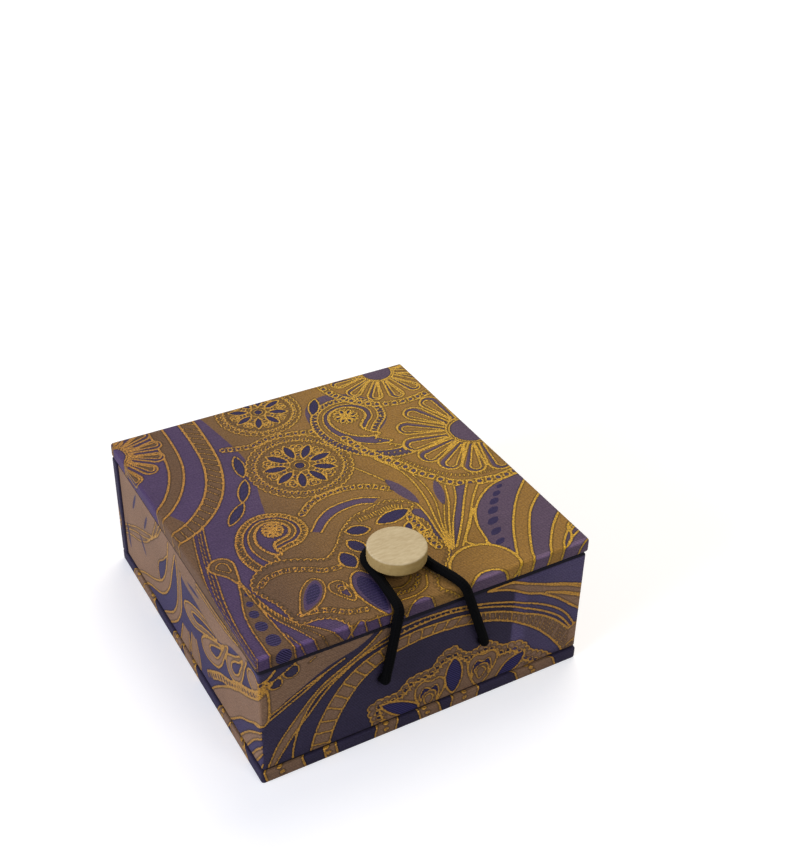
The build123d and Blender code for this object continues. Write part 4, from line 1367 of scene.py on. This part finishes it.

# Pale maple, turned and sanded. The eye gets flecks 1 to 2 mm long and faint growth lines about 4
# mm apart. Its sides are darker and warmer than its top by painted shade.
wood, tree = new_material("turned_pale_wood")
place = add(tree, "TexCoord")
laid = {"Vector": place.outputs["Object"], "Rotation": (0.25, 0.1, 0.6)}
fine = add(tree, "Mapping", {**laid, "Scale": (420.0, 1500.0, 1100.0)})
wide = add(tree, "Mapping", {**laid, "Scale": (90.0, 300.0, 240.0)})
flecks = add(tree, "TexNoise", {"Vector": fine, "Scale": 1.0, "Detail": 4.0, "Roughness": 0.6})
growth = add(tree, "TexNoise", {"Vector": wide, "Scale": 1.0, "Detail": 2.0, "Distortion": 0.6})
share = add(tree, "Math", [growth, 0.35, flecks], operation="MULTIPLY_ADD")
share = add(tree, "MapRange", [share, 0.45, 0.9])
body = {0: share, 6: colour("#bda87f"), 7: colour("#d4c29a")}
body = add(tree, "Mix", body, data_type="RGBA")
# painted shade: by their facing, the sides are made darker and warmer than the top
facing = add(tree, "SeparateXYZ", [place.outputs["Normal"]]).outputs[2]
upright = add(tree, "MapRange", [facing, 0.1, 0.9])
rim = {0: upright, 6: colour("#c8bb95"), 7: colour("#f3f3f3")}
rim = add(tree, "Mix", rim, data_type="RGBA")
body = add(tree, "Mix", {0: 1.0, 6: body, 7: rim}, data_type="RGBA", blend_type="MULTIPLY")
bump = add(tree, "Bump", {"Strength": 0.2, "Distance": 0.04 * MM, "Height": flecks})
turned = add(
    tree,
    "BsdfPrincipled",
    {"Base Color": body, "Roughness": 0.62, "Specular IOR Level": 0.15, "Normal": bump},
)
add(tree, "OutputMaterial", [turned])
button = new_piece("button", form, wood)
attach(button, "lid")
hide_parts("button_head", "button_neck")

# Padded linings. Each pad is a card with foam on it, and satin drawn over both and glued behind.
# The satin swells between its edges, and puckers a little where it is pulled round the corners.
# Gold satin: the eye gets soft streaks of thread 0.3 mm apart and slow folds some 11 mm wide.
satin, tree = new_material("gold_satin")
lies = add(tree, "Attribute", attribute_name="cloth").outputs["Vector"]
long_way = add(tree, "Mapping", {"Vector": lies, "Scale": (3.0, 0.25, 1.0)})
threads = add(tree, "TexNoise", {"Vector": long_way, "Scale": 1.0, "Detail": 3.0})
folds = {"Vector": lies, "Scale": 0.09, "Detail": 2.0, "Distortion": 0.8}
folds = add(tree, "TexNoise", folds)
height = add(tree, "Math", [folds, 16.0, threads], operation="MULTIPLY_ADD")
share = add(tree, "MapRange", [threads, 0.3, 0.7])
body = {0: share, 6: colour("#c9a966"), 7: colour("#d6bb7c")}
smooth = add(
    tree,
    "BsdfPrincipled",
    {
        "Base Color": add(tree, "Mix", body, data_type="RGBA"),
        "Roughness": 0.3,
        "Specular IOR Level": 0.5,
        "Sheen Weight": 0.2,
        "Sheen Roughness": 0.3,
        "Anisotropic": 0.4,
        "Normal": add(tree, "Bump", {"Strength": 0.5, "Distance": 0.06 * MM, "Height": height}),
    },
)
add(tree, "OutputMaterial", [smooth])

pucker_size, pucker_from, pucker_fade = 0.13, 1.4, 4.0
pucker_waves = ((0.83, 0.0), (1.47, 1.0), (2.3, 2.0))
for pad, body_name, crown, (across_name, up_name, facing_name) in (
    ("front_pad", "root", 0.6, ("x", "z", "+y")),
    ("back_pad", "root", 0.6, ("x", "z", "-y")),
    ("left_pad", "root", 0.6, ("y", "z", "+x")),
    ("right_pad", "root", 0.6, ("y", "z", "-x")),
    ("cushion", "root", 1.6, ("x", "y", "+z")),
    ("lid_pad", "lid", 1.2, ("x", "y", "-z")),
):
    low, high = (np.array(corner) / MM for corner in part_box(pad + "_satin"))
    across, up, facing = ("xyz".index(name[-1]) for name in (across_name, up_name, facing_name))
    sign = 1 if facing_name[0] == "+" else -1
    half, tall_half = (high[across] - low[across]) / 2, (high[up] - low[up]) / 2
    thick = high[facing] - low[facing] - crown
    middle = (low + high) / 2

    def place_pad(x, y, depth):
        off = y - middle[up]
        swell = crown * (1 - (x**2 + off**2) / (half**2 + tall_half**2))
        for at, from_edge in ((y, half - abs(x)), (x, tall_half - abs(off))):
            pucker = sum(np.sin(at * pace + start) for pace, start in pucker_waves)
            fade = np.exp(-np.maximum(from_edge - pucker_from, 0) / pucker_fade)
            swell = swell + pucker_size * crown**0.5 * pucker * fade
        tall = (thick - depth) * (1 + swell / thick)
        spots = [None, None, None]
        spots[across] = middle[across] + x
        spots[up] = y
        spots[facing] = (low[facing] if sign > 0 else high[facing]) + sign * tall
        return spots

    piece = wrapped(
        pad + "_cover",
        half,
        low[up],
        high[up],
        thick,
        step=0.8,
        corner=2.4,
        edge=min(2.6, 0.75 * thick),
        under_edge=0.3,
        turns=(1.0, 4.0),
        place=place_pad,
        lies=case_cloth,
        material=satin,
    )
    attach(piece, body_name)
    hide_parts(pad + "_satin", pad + "_foam")

# Inner hinge. A strip of the lining's satin is glued along the tray's back rim and under the lid,
# folded on itself in the gap. It is drawn folded, as with the lid shut; the real one lies flat
# when the lid is open.
strip_half, strip_steps = 47.9, 48
form = bmesh.new()
strip = [(47.0, 39.14), (49.0, 39.15), (51.0, 39.16), (51.9, 39.2), (52.15, 39.4)]
strip += [(51.9, 39.6), (51.0, 39.64), (49.0, 39.65), (46.2, 39.66)]
line = [form.verts.new(Vector((-strip_half, y, z)) * MM) for y, z in strip]
edge = [form.edges.new(pair) for pair in zip(line[:-1], line[1:])]
for _ in range(strip_steps):
    edge = drawn_on(form, edge, (2 * strip_half / strip_steps * MM, 0, 0))
cloth = form.verts.layers.float_vector.new("cloth")
for vertex in form.verts:
    vertex[cloth] = (vertex.co.x / MM, vertex.co.y / MM, 0)
bmesh.ops.recalc_face_normals(form, faces=form.faces)
bmesh.ops.solidify(form, geom=form.faces, thickness=0.1 * MM)
hinge_strip = new_piece("hinge_strip", form, satin)
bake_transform(hinge_strip)
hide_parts("hinge_lining")


# Hidden layers. Greyboard, card and felt lie inside the covers, and a zinc-plated screw holds the
# button. They show only in a section, and each has its own plain finish.
def plain_stuff(name, dark, light, grain, roughness, metal=0.0):
    """A finish of two close colours, mottled by fibres or grains of a size in mm."""
    material, tree = new_material(name)
    place = add(tree, "TexCoord").outputs["Object"]
    fibres = add(tree, "TexNoise", {"Vector": place, "Scale": 1 / (grain * MM), "Detail": 3.0})
    body = {0: fibres, 6: colour(dark), 7: colour(light)}
    face = {
        "Base Color": add(tree, "Mix", body, data_type="RGBA"),
        "Roughness": roughness,
        "Metallic": metal,
        "Normal": add(tree, "Bump", {"Strength": 0.3, "Distance": 0.05 * MM, "Height": fibres}),
    }
    add(tree, "OutputMaterial", [add(tree, "BsdfPrincipled", face)])
    return material


finishes = {
    "greyboard": plain_stuff("pressed_greyboard", "#6f6a61", "#8f8a80", 0.6, 0.9),
    "card": plain_stuff("white_card", "#cfcbc0", "#e4e0d6", 0.4, 0.85),
    "wadding": plain_stuff("white_felt", "#d5d1c8", "#ece9e2", 0.9, 0.95),
    "foam": plain_stuff("open_cell_foam", "#dcd7c6", "#efead9", 0.8, 0.95),
    "screw_steel": plain_stuff("zinc_plated_steel", "#8e9194", "#b9bcc0", 0.3, 0.35, 1.0),
    "elastic": elastic,
}
for part in frame["record"]["subparts"]:
    finish = finishes.get(part["material_slot"])
    if finish:
        mesh = frame["nodes"][part["node"]].data
        mesh.materials.clear()
        mesh.materials.append(finish)
